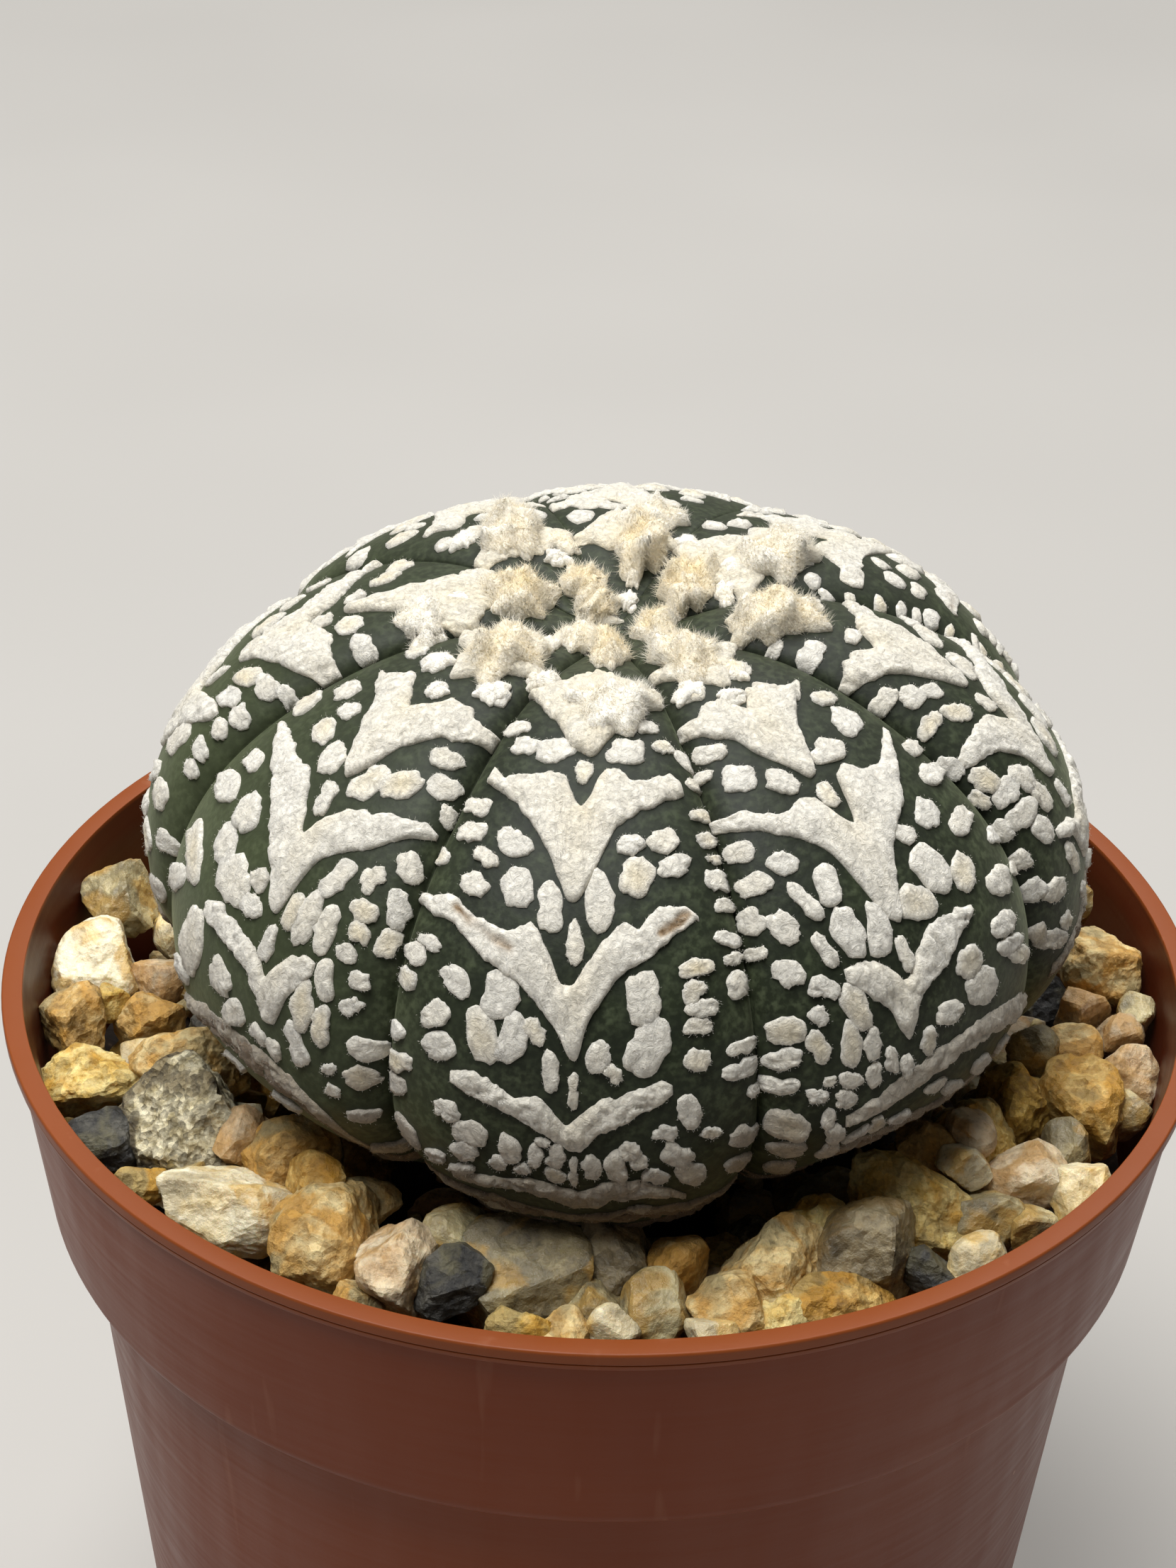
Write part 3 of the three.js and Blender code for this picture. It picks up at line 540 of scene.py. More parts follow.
        (-.85, .45, 1.9, 1.2, 0), (-.9, .38, 1.6, 1, 0), (-.7, .5, 2.3, 1.5, 0), (-.3, .49, 2, 1.4, 20),
        (.7, .55, 2.2, 1.4, 10), (0, .585, 1.6, 1.2, 0), (-.3, .585, 2, 1.4, 10), (-.65, .57, 2.3, 1.4, 0),
        (.5, .59, 1.8, 1.2, 0), (.85, .6, 2, 1.3, 0), (.2, .61, 1.2, .9, 0), (-.9, .56, 1.8, 1.2, 0),
    ],
}
# Ribs that the photograph hides or shows from afar repeat a seen one, turned over and shifted.
borrowedRibs = {
    "backRight": ("front", -1, -0.024),
    "back": ("frontRight", -1, 0.006),
    "backLeft": ("frontLeft", -1, 0.012),
}
borrowSettings = {"thinner": 0.65, "across": 0.02, "down": 0.004, "resized": (0.85, 1.1), "turned": 9,
                  "highest": 0.07}
hemSettings = {"points": 31, "waves": (5, 11, 19, 31), "fray": 0.007, "fade": 0.12, "above": 0.012,
               "below": 0.017, "cream": 0.4, "thick": 0.2, "grey": 1.0, "underGrey": 0.6,
               "footPoints": 9, "footHeight": 0.80, "footWave": 0.01, "footTurns": 9}
feltSettings = {
    "seenRibs": ("front", "frontLeft", "frontRight", "right", "left"),
    "seenGrid": (124, 15),  # columns along a chevron and rows across it
    "hiddenGrid": (64, 9),
    "base": 0.05,  # mm between the skin and the thinnest felt
    "height": 0.8,  # share of a mark's thickness that is built
    "edge": 0.09,  # mm over which the pile rounds down at its edge
    "edgeShare": 0.78,  # share of the height reached there; the rest comes over middleReach
    "middleShare": 0.22,
    "middleReach": 1.2,
    "sunk": 0.35,  # mm that the underside lies under the skin
    "narrowest": 0.30,
    "endReach": 1.2,  # mm from a chevron's end over which its outline strays less
    "endRagged": 0.25,
    "endRound": (0.8, 0.02),  # share of the way from the end that counts as depth, and the least
    "ragged": 0.19,  # mm by which an outline strays
    "raggedSize": 0.62,
    "fineRagged": (0.3, 0.35),  # share of that strayed once more, and its size
    "lumps": 0.115,
    "lumpSize": 0.95,
    "creases": 0.13,
    "creaseSize": 1.05,
    "creaseWidth": 0.13,
    "fineCreases": 0.75,  # share of the depth of those half as large
    "fineWidth": 0.16,
    "tipWidth": 1.6,  # mm over which a chevron's tip is creamier
    "tipCream": 0.25,
    "endCream": 0.5,
    "dryWidth": 0.2,
    "dryDepth": 0.18,
    "dryStray": (0.18, 0.7),  # mm, and the size of that noise
    "dryBreaks": (0.7, 1.4),  # the dry line's mean strength and the size of its gaps
}
fleckSettings = {
    "seenGrid": (26, [0.0, 0.55, 0.9, 1.0]),  # points round a fleck, and its rings from the centre out
    "hiddenGrid": (12, [0.0, 0.62, 1.0]),
    "thick": 0.17,
    "thickVaries": (0.8, 1.2),
    "thinnest": 0.08,
    "base": 0.06,
    "scale": 0.94,
    "outline": (1.9, 2.9),  # powers of the superellipse
    "strays": [(0.22, 0.85, 0), (0.15, 0.40, 1)],  # mm, size of that noise, seed
    "frayed": 0.035,
    "leastReach": 0.45,  # mm, so that a short reach strays less
    "spacing": 9.7,  # between flecks in the noise
    "edgePower": 16,
    "cream": (0.0, 0.14),
    "creamMiddles": [0, 0, 0.15, 0.5],
    "greyFrom": (0.55, 2.5),  # s where flecks start to grey, and how fast
    "greySides": (0.8, 3, 0.3, 0.57),  # beyond that |t|, how fast, at most, and below that s
    "greyest": 0.6,
}


def feltRelief(points, seed):
    # Matted pile: lumps a*n(p) in three layers, less creases c*exp(-(m/w)^2) along the zero lines of a broad
    # and of a fine noise.
    f = feltSettings
    lumps = f["lumps"] * layeredNoise(points, f["lumpSize"], seed)
    broad = latticeNoise(points, f["creaseSize"], seed + 61)
    fine = latticeNoise(points, f["creaseSize"] * 0.5, seed + 67)
    broad = f["creases"] * np.exp(-(broad / f["creaseWidth"]) ** 2)
    return lumps - broad - f["fineCreases"] * f["creases"] * np.exp(-(fine / f["fineWidth"]) ** 2)


def dryHem(edge, seed):
    # The brown, frayed hem under a lowest band, from just over its lower edge to a line that wanders with
    # sines: f*sin(n*(t+seed))/(1+0.12n) summed over the waves n.
    h = hemSettings
    t = np.linspace(edge[0][0], edge[-1][0], h["points"])
    s = np.interp(t, *zip(*edge))
    fray = sum(h["fray"] * np.sin(n * t + seed * n) / (1 + h["fade"] * n) for n in h["waves"])
    top, bottom = list(zip(t, s - h["above"])), list(zip(t, s + h["below"] + fray))
    return band(h["cream"], h["thick"], top, bottom, h["grey"])


def addHems():
    # A hem under each greyed band, and one along the foot of every seen rib.
    h = hemSettings
    for number, chevrons in enumerate(ribChevrons.values()):
        greyed = [c for c in chevrons if c["grey"] >= h["underGrey"]]
        foot = [(t, h["footHeight"] + h["footWave"] * math.sin(h["footTurns"] * t + number))
                for t in np.linspace(-1, 1, h["footPoints"])]
        chevrons += [dryHem(c["bottom"], number + 9 * k) for k, c in enumerate(greyed)]
        chevrons.append(dryHem(foot, 40 + number))


def borrowMarks(source, turn, shift, seed):
    # A seen rib's marks with t turned over, s shifted, and each fleck moved a little at random.
    b = borrowSettings
    random = np.random.default_rng(seed)
    chevrons = []
    for c in ribChevrons[source]:
        top, bottom = (sorted((turn * t, max(s + shift, b["highest"])) for t, s in c[side])
                       for side in ("top", "bottom"))
        dry = [(turn * t, s + shift) for t, s in c["dry"]]
        chevrons.append(band(c["cream"], c["thick"] * b["thinner"], top, bottom, c["grey"], dry))
    flecks = [(turn * t + random.uniform(-b["across"], b["across"]),
               s + shift + random.uniform(-b["down"], b["down"]),
               length * random.uniform(*b["resized"]), breadth * random.uniform(*b["resized"]),
               turn * heading + random.uniform(-b["turned"], b["turned"]))
              for t, s, length, breadth, heading in ribFlecks[source]]
    return chevrons, flecks


addHems()
for number, (rib, (source, turn, shift)) in enumerate(borrowedRibs.items()):
    ribChevrons[rib], ribFlecks[rib] = borrowMarks(source, turn, shift, 40 + number)


def smoothed(values, times=2):
    # Each value becomes a quarter of both neighbours and half of itself; the ends stay.
    for _ in range(times):
        softer = (values[:-2] + 2 * values[1:-1] + values[2:]) / 4
        values = np.concatenate([values[:1], softer, values[-1:]])
    return values


def distanceToPath(t, s, path, rib):
    # Shortest distance in mm from points (t, s) to the segments of a path, pairs of ends at a time.
    across, down = sizesAt(s, rib)
    best = np.full(np.shape(t), farAway)
    for (t0, s0), (t1, s1) in zip(path[::2], path[1::2]):
        ax, ay = (t - t0) * across, (s - s0) * down
        bx, by = (t1 - t0) * across, (s1 - s0) * down
        k = np.clip((ax * bx + ay * by) / np.maximum(bx * bx + by * by, 1e-9), 0, 1)
        best = np.minimum(best, np.hypot(ax - k * bx, ay - k * by))
    return best


def isSeen(rib):
    return ribNames[rib] in feltSettings["seenRibs"]


def chevronOutline(mark, rib, seed):
    # Both curves at even steps of t, softened, then strayed by a broad and a fine noise that fade near the
    # ends.
    f = feltSettings
    top, bottom = np.array(mark["top"], float), np.array(mark["bottom"], float)
    t = np.linspace(top[0, 0], top[-1, 0], f["seenGrid" if isSeen(rib) else "hiddenGrid"][0])
    upper = smoothed(np.interp(t, top[:, 0], top[:, 1]))
    lower = smoothed(np.interp(t, bottom[:, 0], bottom[:, 1]))
    across, down = sizesAt((upper + lower) / 2, rib)
    line = np.stack([t * across, np.zeros_like(t), np.full_like(t, seed * 3.7)], -1)
    ends = np.minimum(t - t[0], t[-1] - t) * across
    taper = np.clip(ends / f["endReach"], f["endRagged"], 1)
    rag = f["ragged"] * taper / down
    share, size = f["fineRagged"]
    upper = upper + rag * layeredNoise(line, f["raggedSize"], seed)
    lower = lower + rag * layeredNoise(line, f["raggedSize"], seed + 50)
    upper = upper + share * rag * latticeNoise(line, f["raggedSize"] * size, seed + 70)
    lower = lower + share * rag * latticeNoise(line, f["raggedSize"] * size, seed + 80)
    return t, upper, np.maximum(lower, upper + f["narrowest"] / down), across, down, ends, taper


def drySplits(t, s, base, mark, rib, seed):
    # Closeness exp(-(d/w)^2) to the mark's dry path, d strayed by noise, broken up along it by another
    # noise.
    if not mark["dry"]:
        return np.zeros(t.shape)
    f = feltSettings
    (stray, straySize), (mean, breakSize) = f["dryStray"], f["dryBreaks"]
    away = distanceToPath(t, s, mark["dry"], rib) + stray * latticeNoise(base, straySize, seed + 21)
    whole = np.clip(mean + latticeNoise(base, breakSize, seed + 33), 0, 1)
    return np.exp(-(away / f["dryWidth"]) ** 2) * whole


def withRims(values):
    # The first and last row repeated, for the two rows under the skin.
    return np.concatenate([values[:, :1], values, values[:, -1:]], axis=1)


def makeChevron(mark, rib, seed):
    # Rows v from 0 to 1 between the two curves. Height H*(a*(1-exp(-d/e)) + b*min(d/m, 1)), d the distance
    # in mm to the nearest outline, plus the relief; the first and last rows dip under the skin and close the
    # band.
    f = feltSettings
    t, upper, lower, across, down, ends, taper = chevronOutline(mark, rib, seed)
    v = (1 - np.cos(np.pi * np.linspace(0, 1, f["seenGrid" if isSeen(rib) else "hiddenGrid"][1]))) / 2
    s = upper[:, None] + v[None, :] * (lower - upper)[:, None]
    tt = np.broadcast_to(t[:, None], s.shape)
    steep = np.hypot(1, np.gradient((upper + lower) / 2 * down) / np.maximum(np.gradient(t * across), 1e-6))
    d = np.minimum(v, 1 - v)[None, :] * ((lower - upper) * down / steep)[:, None]
    d = np.minimum(d, np.maximum(ends[:, None] * f["endRound"][0], f["endRound"][1]))
    base, normal = onRib(s, tt, rib)
    inside = 1 - np.exp(-d / f["edge"])
    swell = f["edgeShare"] * inside + f["middleShare"] * np.clip(d / f["middleReach"], 0, 1)
    rise = f["base"] + mark["thick"] * f["height"] * swell + feltRelief(base, seed + 9) * inside
    dry = drySplits(tt, s, base, mark, rib, seed)
    points = base + normal * (rise - f["dryDepth"] * dry)[..., None]
    sunk = base + normal * (-f["sunk"])
    grid = np.concatenate([sunk[:, :1], points, sunk[:, -1:]], axis=1)
    n, m = grid.shape[:2]
    tip = np.exp(-((tt - t[np.argmax(lower)]) * across[:, None] / f["tipWidth"]) ** 2)
    cream = np.clip(mark["cream"] + f["tipCream"] * tip * (1 - v)[None, :] +
                    f["endCream"] * mark["cream"] * (1 - taper)[:, None], 0, 1)
    caps = [np.arange(m)[::-1][None, :], (n - 1) * m + np.arange(m)[None, :]]
    return {"rib": rib, "points": grid.reshape(-1, 3), "quads": gridFaces(n, m, wrap=True), "caps": caps,
            "cream": withRims(cream), "dry": withRims(dry), "grey": np.full((n, m), mark["grey"]),
            "surface": points, "normal": normal}


def fleckOutlines(marks, angles, random, seed):
    # Superellipses |x/a|^n+|y/b|^n=1, strayed by noise of the same size in mm on every fleck, turned to
    # their heading.
    f = fleckSettings
    turnBy = np.linspace(0, 2 * np.pi, angles, endpoint=False)
    power = random.uniform(*f["outline"], (len(marks), 1))
    shape = (np.abs(np.cos(turnBy)) ** power + np.abs(np.sin(turnBy)) ** power) ** (-1 / power)
    along = shape * np.cos(turnBy) * marks[:, 2:3] * f["scale"] / 2
    aside = shape * np.sin(turnBy) * marks[:, 3:4] * f["scale"] / 2
    apart = np.broadcast_to(np.arange(len(marks))[:, None] * f["spacing"], along.shape)
    spots = np.stack([along, aside, apart], -1)
    stray = sum(amount * latticeNoise(spots, size, seed + more) for amount, size, more in f["strays"])
    stray = stray + random.normal(0, f["frayed"], stray.shape)
    wobble = 1 + stray / np.maximum(np.hypot(along, aside), f["leastReach"])
    along, aside = along * wobble, aside * wobble
    return turned(along, aside, np.radians(marks[:, 4:5]))


def makeFlecks(marks, rib, seed):
    # A rib's flecks together. Rings drawn out from each centre to its outline, height H*(1-r^16)^(1/2) with
    # the relief in H, then a sunk rim.
    f = fleckSettings
    random = np.random.default_rng(seed)
    marks = np.array(marks, float)
    count = len(marks)
    angles, level = f["seenGrid" if isSeen(rib) else "hiddenGrid"]
    level = np.array(level)
    dx, dy = fleckOutlines(marks, angles, random, seed)
    across, down = sizesAt(marks[:, 1], rib)
    scale = np.append(np.maximum(level, 0.001), 1.0)[None, :, None]
    t = marks[:, 0][:, None, None] + scale * (dx / across[:, None])[:, None, :]
    s = marks[:, 1][:, None, None] + scale * (dy / down[:, None])[:, None, :]
    base, normal = onRib(s, t, rib)
    crown = np.sqrt(1 - level ** f["edgePower"])[None, :, None]
    thick = f["thick"] * random.uniform(*f["thickVaries"], (count, 1, 1))
    rise = f["base"] + np.maximum(thick + feltRelief(base[:, :-1], seed + 5), f["thinnest"]) * crown
    rise = np.concatenate([rise, np.full((count, 1, angles), -feltSettings["sunk"])], axis=1)
    points = base + normal * rise[..., None]
    rows = len(level) + 1
    points[:, 0] = points[:, 0].mean(axis=1, keepdims=True)
    fan = fanFaces(0, angles, angles, True)
    fade = 1 - np.append(level, 1.0)[None, :, None] ** 2
    cream = random.uniform(*f["cream"], (count, 1, 1))
    cream = cream + random.choice(f["creamMiddles"], (count, 1, 1)) * fade
    # Flecks turn grey low on the body and, below s 0.57, towards the furrows: partly age, partly painted
    # shade.
    (greyFrom, growth), (beyond, slope, most, below) = f["greyFrom"], f["greySides"]
    sides = np.clip((np.abs(marks[:, 0]) - beyond) * slope, 0, most) * (marks[:, 1] > below)
    grey = np.clip((marks[:, 1] - greyFrom) * growth + sides, 0, f["greyest"])
    return {"rib": rib, "points": points.reshape(-1, 3),
            "quads": repeatFaces(gridFaces(rows, angles, wrap=True)[angles:], count, rows * angles),
            "fan": repeatFaces(fan, count, rows * angles),
            "under": repeatFaces((rows - 1) * angles + np.arange(angles)[None, :], count, rows * angles),
            "cream": cream * np.ones((1, 1, angles)),
            "grey": grey[:, None, None] * np.ones((1, rows, angles)),
            "surface": points[:, 1:-1], "normal": normal[:, 1:-1], "centre": points[:, :1]}


chevronMeshes = [makeChevron(mark, rib, 11 * rib + number + 1) for rib, name in enumerate(ribNames)
                 for number, mark in enumerate(ribChevrons[name])]
fleckMeshes = [makeFlecks(ribFlecks[name], rib, 200 + rib) for rib, name in enumerate(ribNames)]
print("felt worked out:", len(chevronMeshes), "chevrons")


def skinMaterial():
    # Living cactus skin under a thin wax bloom: dark green, a little mottled, satin, with painted shade
    # beside the felt, painted light that makes it paler to the left and painted shade that darkens the
    # crown.
    material, tree = newMaterial("waxyCactusSkin")
    place = addNode(tree, "TexCoord")
    paintedFeltShade = addNode(tree, "Attribute", attribute_name="paintedFeltShade")
    broad = addNode(tree, "TexNoise", {"Vector": place.outputs["Object"], "Scale": 260.0, "Detail": 3.0})
    fine = addNode(tree, "TexNoise", {"Vector": place.outputs["Object"], "Scale": 2600.0, "Detail": 4.0})
    green = addNode(tree, "ValToRGB", {"Fac": broad.outputs["Fac"]},
                    stops=[(0.30, "#212619"), (0.68, "#323b25")])
    specks = addNode(tree, "ValToRGB", {"Fac": fine.outputs["Fac"]},
                     stops=[(0.42, "#171c12"), (0.64, "#5b644b")])
    mixed = addNode(tree, "Mix", {0: 0.42, 6: green.outputs["Color"], 7: specks.outputs["Color"]},
                    data_type="RGBA")
    # Painted shade: the skin darkens towards near-black beside the felt.
    dark = addNode(tree, "Mix", {0: paintedFeltShade.outputs["Fac"], 6: mixed.outputs[2], 7: toLinear("#1a1f16")},
                   data_type="RGBA")
    where = addNode(tree, "SeparateXYZ", {"Vector": place.outputs["Object"]})
    # Painted light: the skin is mixed paler towards the left, where the lamp light falls.
    paintedLeftLight = addNode(tree, "MapRange", {"Value": where.outputs["X"], 1: -0.026, 2: -0.006, 3: 0.55, 4: 0.0})
    leftLitSkin = addNode(tree, "Mix", {0: paintedLeftLight.outputs[0], 6: dark.outputs[2], 7: toLinear("#525a3d")},
                    data_type="RGBA")
    # Painted shade: the skin is mixed darker over the crown.
    high = addNode(tree, "MapRange", {"Value": where.outputs["Z"], 1: 0.079, 2: 0.086, 3: 0.0, 4: 0.45})
    crown = addNode(tree, "Mix", {0: high.outputs[0], 6: leftLitSkin.outputs[2], 7: toLinear("#20231d")},
                    data_type="RGBA")
    bump = addNode(tree, "Bump", {"Strength": 0.35, "Distance": 0.00008, "Height": fine.outputs["Fac"]})
    shader = addNode(tree, "BsdfPrincipled", {
        "Base Color": crown.outputs[2], "Roughness": 0.55, "Specular IOR Level": 0.2,
        "Normal": bump.outputs["Normal"],
        "Sheen Weight": 0.22, "Sheen Roughness": 0.45, "Sheen Tint": toLinear("#bcc49e"),
        "Subsurface Weight": 0.05, "Subsurface Radius": (0.6, 1.0, 0.3), "Subsurface Scale": 0.0008})
    addNode(tree, "OutputMaterial", {"Surface": shader.outputs["BSDF"]})
    return material


def feltMaterial(name, whitest, creamiest, shadows):
    # Trichome felt, matted white hairs: no gloss, a soft sheen, cream where young, greyish where old and, as
    # painted shade, low on the body and by the furrows; the pits darker as painted shade.
    material, tree = newMaterial(name)
    place = addNode(tree, "TexCoord").outputs["Object"]
    marks = {k: addNode(tree, "Attribute", attribute_name=k).outputs["Fac"]
             for k in ("cream", "grey", "dry")}
    cloud = addNode(tree, "TexNoise", {"Vector": place, "Scale": 700.0, "Detail": 4.0, "Roughness": 0.6})
    pile = addNode(tree, "TexNoise", {"Vector": place, "Scale": 2700.0, "Detail": 5.0, "Roughness": 0.72,
                                      "Distortion": 0.9})
    amount = addNode(tree, "Math", {0: marks["cream"], 1: cloud.outputs["Fac"]}, operation="MULTIPLY")
    doubled = addNode(tree, "Math", {0: amount.outputs[0], 1: 1.9}, operation="MULTIPLY", use_clamp=True)
    tinted = addNode(tree, "Mix", {0: doubled.outputs[0], 6: toLinear(whitest), 7: toLinear(creamiest)},
                     data_type="RGBA")
    # The grey attribute mixes in grey-brown: age on old felt and the hem, and painted shade low on the body
    # and by the furrows.
    agedAndShaded = addNode(tree, "Mix", {0: marks["grey"], 6: tinted.outputs[2], 7: toLinear("#897863")},
                   data_type="RGBA")
    cracked = addNode(tree, "Mix", {0: marks["dry"], 6: agedAndShaded.outputs[2], 7: toLinear("#97784f")},
                      data_type="RGBA")
    shade = addNode(tree, "ValToRGB", {"Fac": pile.outputs["Fac"]}, stops=[(0.30, shadows), (0.60, 1.0)])
    coloured = addNode(tree, "Mix", {0: 1.0, 6: cracked.outputs[2], 7: shade.outputs["Color"]},
                       data_type="RGBA", blend_type="MULTIPLY")
    bump = addNode(tree, "Bump", {"Strength": 1.0, "Distance": 0.0002, "Height": pile.outputs["Fac"]})
    shader = addNode(tree, "BsdfPrincipled", {
        "Base Color": coloured.outputs[2], "Roughness": 0.95, "Specular IOR Level": 0.1,
        "Sheen Weight": 0.2, "Sheen Roughness": 0.5, "Normal": bump.outputs["Normal"],
        "Subsurface Weight": 0.12, "Subsurface Radius": (1.0, 0.9, 0.7), "Subsurface Scale": 0.0004})
    addNode(tree, "OutputMaterial", {"Surface": shader.outputs["BSDF"]})
    return material


def hairMaterial(name, whitest, creamiest):
    # Loose plant hair: pale, letting light through, so that a tuft glows softly instead of shading itself
    # brown.
    material, tree = newMaterial(name)
    cream = addNode(tree, "Attribute", attribute_name="cream").outputs["Fac"]
    colour = addNode(tree, "Mix", {0: cream, 6: toLinear(whitest), 7: toLinear(creamiest)}, data_type="RGBA")
    solid = addNode(tree, "BsdfDiffuse", {"Color": colour.outputs[2]})
    through = addNode(tree, "BsdfTranslucent", {"Color": colour.outputs[2]})
    shader = addNode(tree, "MixShader", {0: 0.5, 1: solid.outputs[0], 2: through.outputs[0]})
    addNode(tree, "OutputMaterial", {"Surface": shader.outputs[0]})
    return material


# Named by what each covers: the skin, the matted felt, the crown's wool, and the loose hairs of both.
cactusSkinMaterial = skinMaterial()
matFeltMaterial = feltMaterial("mattedFelt", "#ece8dd", "#e7d6ac", 0.56)
woolMaterial = feltMaterial("youngWool", "#fdf8ec", "#f2dfb0", 0.88)
feltHairMaterial = hairMaterial("strayFeltHair", "#f2f0ea", "#f0e8d2")
woolHairMaterial = hairMaterial("youngWoolHair", "#fffcf4", "#f8e9c2")


# The halo settings size the painted shade on the skin beside the felt.
skinSettings = {"columnsPerRib": 28, "rows": 150, "firstRow": 0.004, "haloWidth": 0.36, "haloStrength": 0.8,
                "haloDown": 0.75,  # how much a distance down the rib counts against one across it
                "rootRings": 5,  # for each of the root's two stretches
                "rootAxis": (1.0, 1.1),
                "rootPath": [(55.2, 9.0), (52.4, 6.4), (24.2, 1.2)]}  # height and radius, mm


def feltHalo(s, t, rib):
    # Closeness to felt, exp(-(d/w)^2), d the distance in mm to the nearest chevron or fleck of the rib; it
    # weights the painted shade on the skin beside the felt.
    k = skinSettings
    across, down = sizesAt(s, rib)
    away = np.full(np.shape(s), farAway)
    for mark in ribChevrons[ribNames[rib]]:
        top, bottom = np.array(mark["top"]), np.array(mark["bottom"])
        upper, lower = np.interp(t, top[:, 0], top[:, 1]), np.interp(t, bottom[:, 0], bottom[:, 1])
        gap = np.maximum(upper - s, s - lower)
        aside = np.maximum(np.maximum(top[0, 0] - t, t - top[-1, 0]), 0) * across
        away = np.minimum(away, np.hypot(np.maximum(gap, 0) * down * k["haloDown"], aside))
    for t0, s0, length, breadth, heading in ribFlecks[ribNames[rib]]:
        dx, dy = (t - t0) * across, (s - s0) * down
        aside, along = turned(dy, dx, math.radians(heading))
        q = np.hypot(along / (length / 2), aside / (breadth / 2))
        away = np.minimum(away, np.maximum(q - 1, 0) * breadth / 2)
    return np.exp(-(away / k["haloWidth"]) ** 2)


def makeSkin():
    # Columns t=sin(pi/2*q) packed towards the furrows; rows even in s; then rings drawn in to the root's
    # circle.
    k = skinSettings
    x0, y0 = k["rootAxis"]
    t = np.sin(np.pi / 2 * np.linspace(-1, 1, k["columnsPerRib"], endpoint=False))
    u = np.concatenate([rib + (t + 1) / 2 for rib in range(8)])
    s = np.linspace(k["firstRow"], 1.0, k["rows"])
    skin = bodySurface(s[:, None], u[None, :])
    ss, tt = np.meshgrid(s, t, indexing="ij")
    # Weight of the painted shade beside the felt at each skin point.
    paintedFeltShade = np.concatenate([feltHalo(ss, tt, rib) for rib in range(8)], axis=1)
    around = np.arctan2(skin[-1, :, 1] - y0, skin[-1, :, 0] - x0)
    rings = []
    for (z0, r0), (z1, r1) in zip(k["rootPath"], k["rootPath"][1:]):
        for w in np.linspace(0, 1, k["rootRings"], endpoint=False):
            r, z = r0 + (r1 - r0) * w, np.full(len(around), z0 + (z1 - z0) * w)
            rings.append(np.stack([x0 + r * np.cos(around), y0 + r * np.sin(around), z], -1))
    grid = np.concatenate([skin, np.array(rings)])
    rows, columns = grid.shape[:2]
    apex = bodySurface(np.array([0.0]), np.array([0.5]))
    points = np.concatenate([grid.reshape(-1, 3), apex, [[x0, y0, k["rootPath"][-1][0]]]])
    faces = [gridFaces(rows, columns, wrap=True)[:, ::-1], fanFaces(rows * columns, 0, columns),
             fanFaces(rows * columns + 1, (rows - 1) * columns, columns, True)]
    paintedFeltShade = np.concatenate([paintedFeltShade.ravel(), np.zeros(len(points) - paintedFeltShade.size)])
    buildPiece("cactusSkin", points, faces, cactusSkinMaterial, "cactus",
               {"paintedFeltShade": paintedFeltShade * k["haloStrength"]})


makeSkin()


def joinParts(parts, keys, faceKeys):
    # Stacks the point arrays of several parts and shifts their face numbers to match.
    offset, points, faces, values = 0, [], {k: [] for k in faceKeys}, {k: [] for k in keys}
    for part in parts:
        points.append(part["points"])
        for k in faceKeys:
            for block in (part[k] if isinstance(part[k], list) else [part[k]]):
                faces[k].append(block + offset)
        for k in keys:
            values[k].append(part[k].ravel() if k in part else np.zeros(len(part["points"])))
        offset += len(part["points"])
    return (np.concatenate(points), [np.concatenate(f) for f in faces.values() if f],
            {k: np.concatenate(v) for k, v in values.items()})


for name, seen, meshes, faceKeys in (("seenChevrons", True, chevronMeshes, ["quads", "caps"]),
                                     ("rearChevrons", False, chevronMeshes, ["quads", "caps"]),
                                     ("seenFlecks", True, fleckMeshes, ["quads", "fan", "under"]),
                                     ("rearFlecks", False, fleckMeshes, ["quads", "fan", "under"])):
    chosen = [mesh for mesh in meshes if isSeen(mesh["rib"]) == seen]
    points, faces, values = joinParts(chosen, ["cream", "grey", "dry"], faceKeys)
    buildPiece(name, points, faces, matFeltMaterial, "cactus", values)


def makeSpikes(roots, directions, lengths, width):
    # A hair is a three-sided spike: a small triangle across the direction at the root, drawn to one tip.
    side = np.cross(directions, np.array([0.31, 0.52, 0.79]))  # any way that no hair runs along
    side = side / np.linalg.norm(side, axis=-1, keepdims=True)
    other = np.cross(directions, side)
    turns = [2 * np.pi * k / 3 for k in range(3)]
    corners = [roots + width * (side * math.cos(a) + other * math.sin(a)) for a in turns]
    tips = roots + directions * lengths[:, None]
    points = np.stack(corners + [tips], axis=1).reshape(-1, 3)
    pattern = np.array([[0, 1, 3], [1, 2, 3], [2, 0, 3], [2, 1, 0]])
    return points, repeatFaces(pattern, len(roots), 4)


fuzzSettings = {
    "width": 0.011,  # mm, half a hair's breadth
    "hiddenShare": 0.3,
    "cream": 0.4,  # at most
    "rise": (-0.1, 0.7),  # how far a hair at an edge points up against out
    "untidy": 0.4,
    "edgePerMm": 16.0,
    "edgeLength": (0.06, 0.19),
    "edgeRoots": (0.04, 0.16),  # mm inside the outline and down its side
    "pilePerPoint": 0.07,
    "pileLength": (0.10, 0.24),
    "pileRise": 0.5,
    "pileUntidy": 0.6,
    "pileRoots": (0.05, 0.04),  # mm astray and into the felt
    "rimHairs": 3,
    "rimLength": (0.05, 0.13),
    "rimRoots": (0.06, 0.03),
}


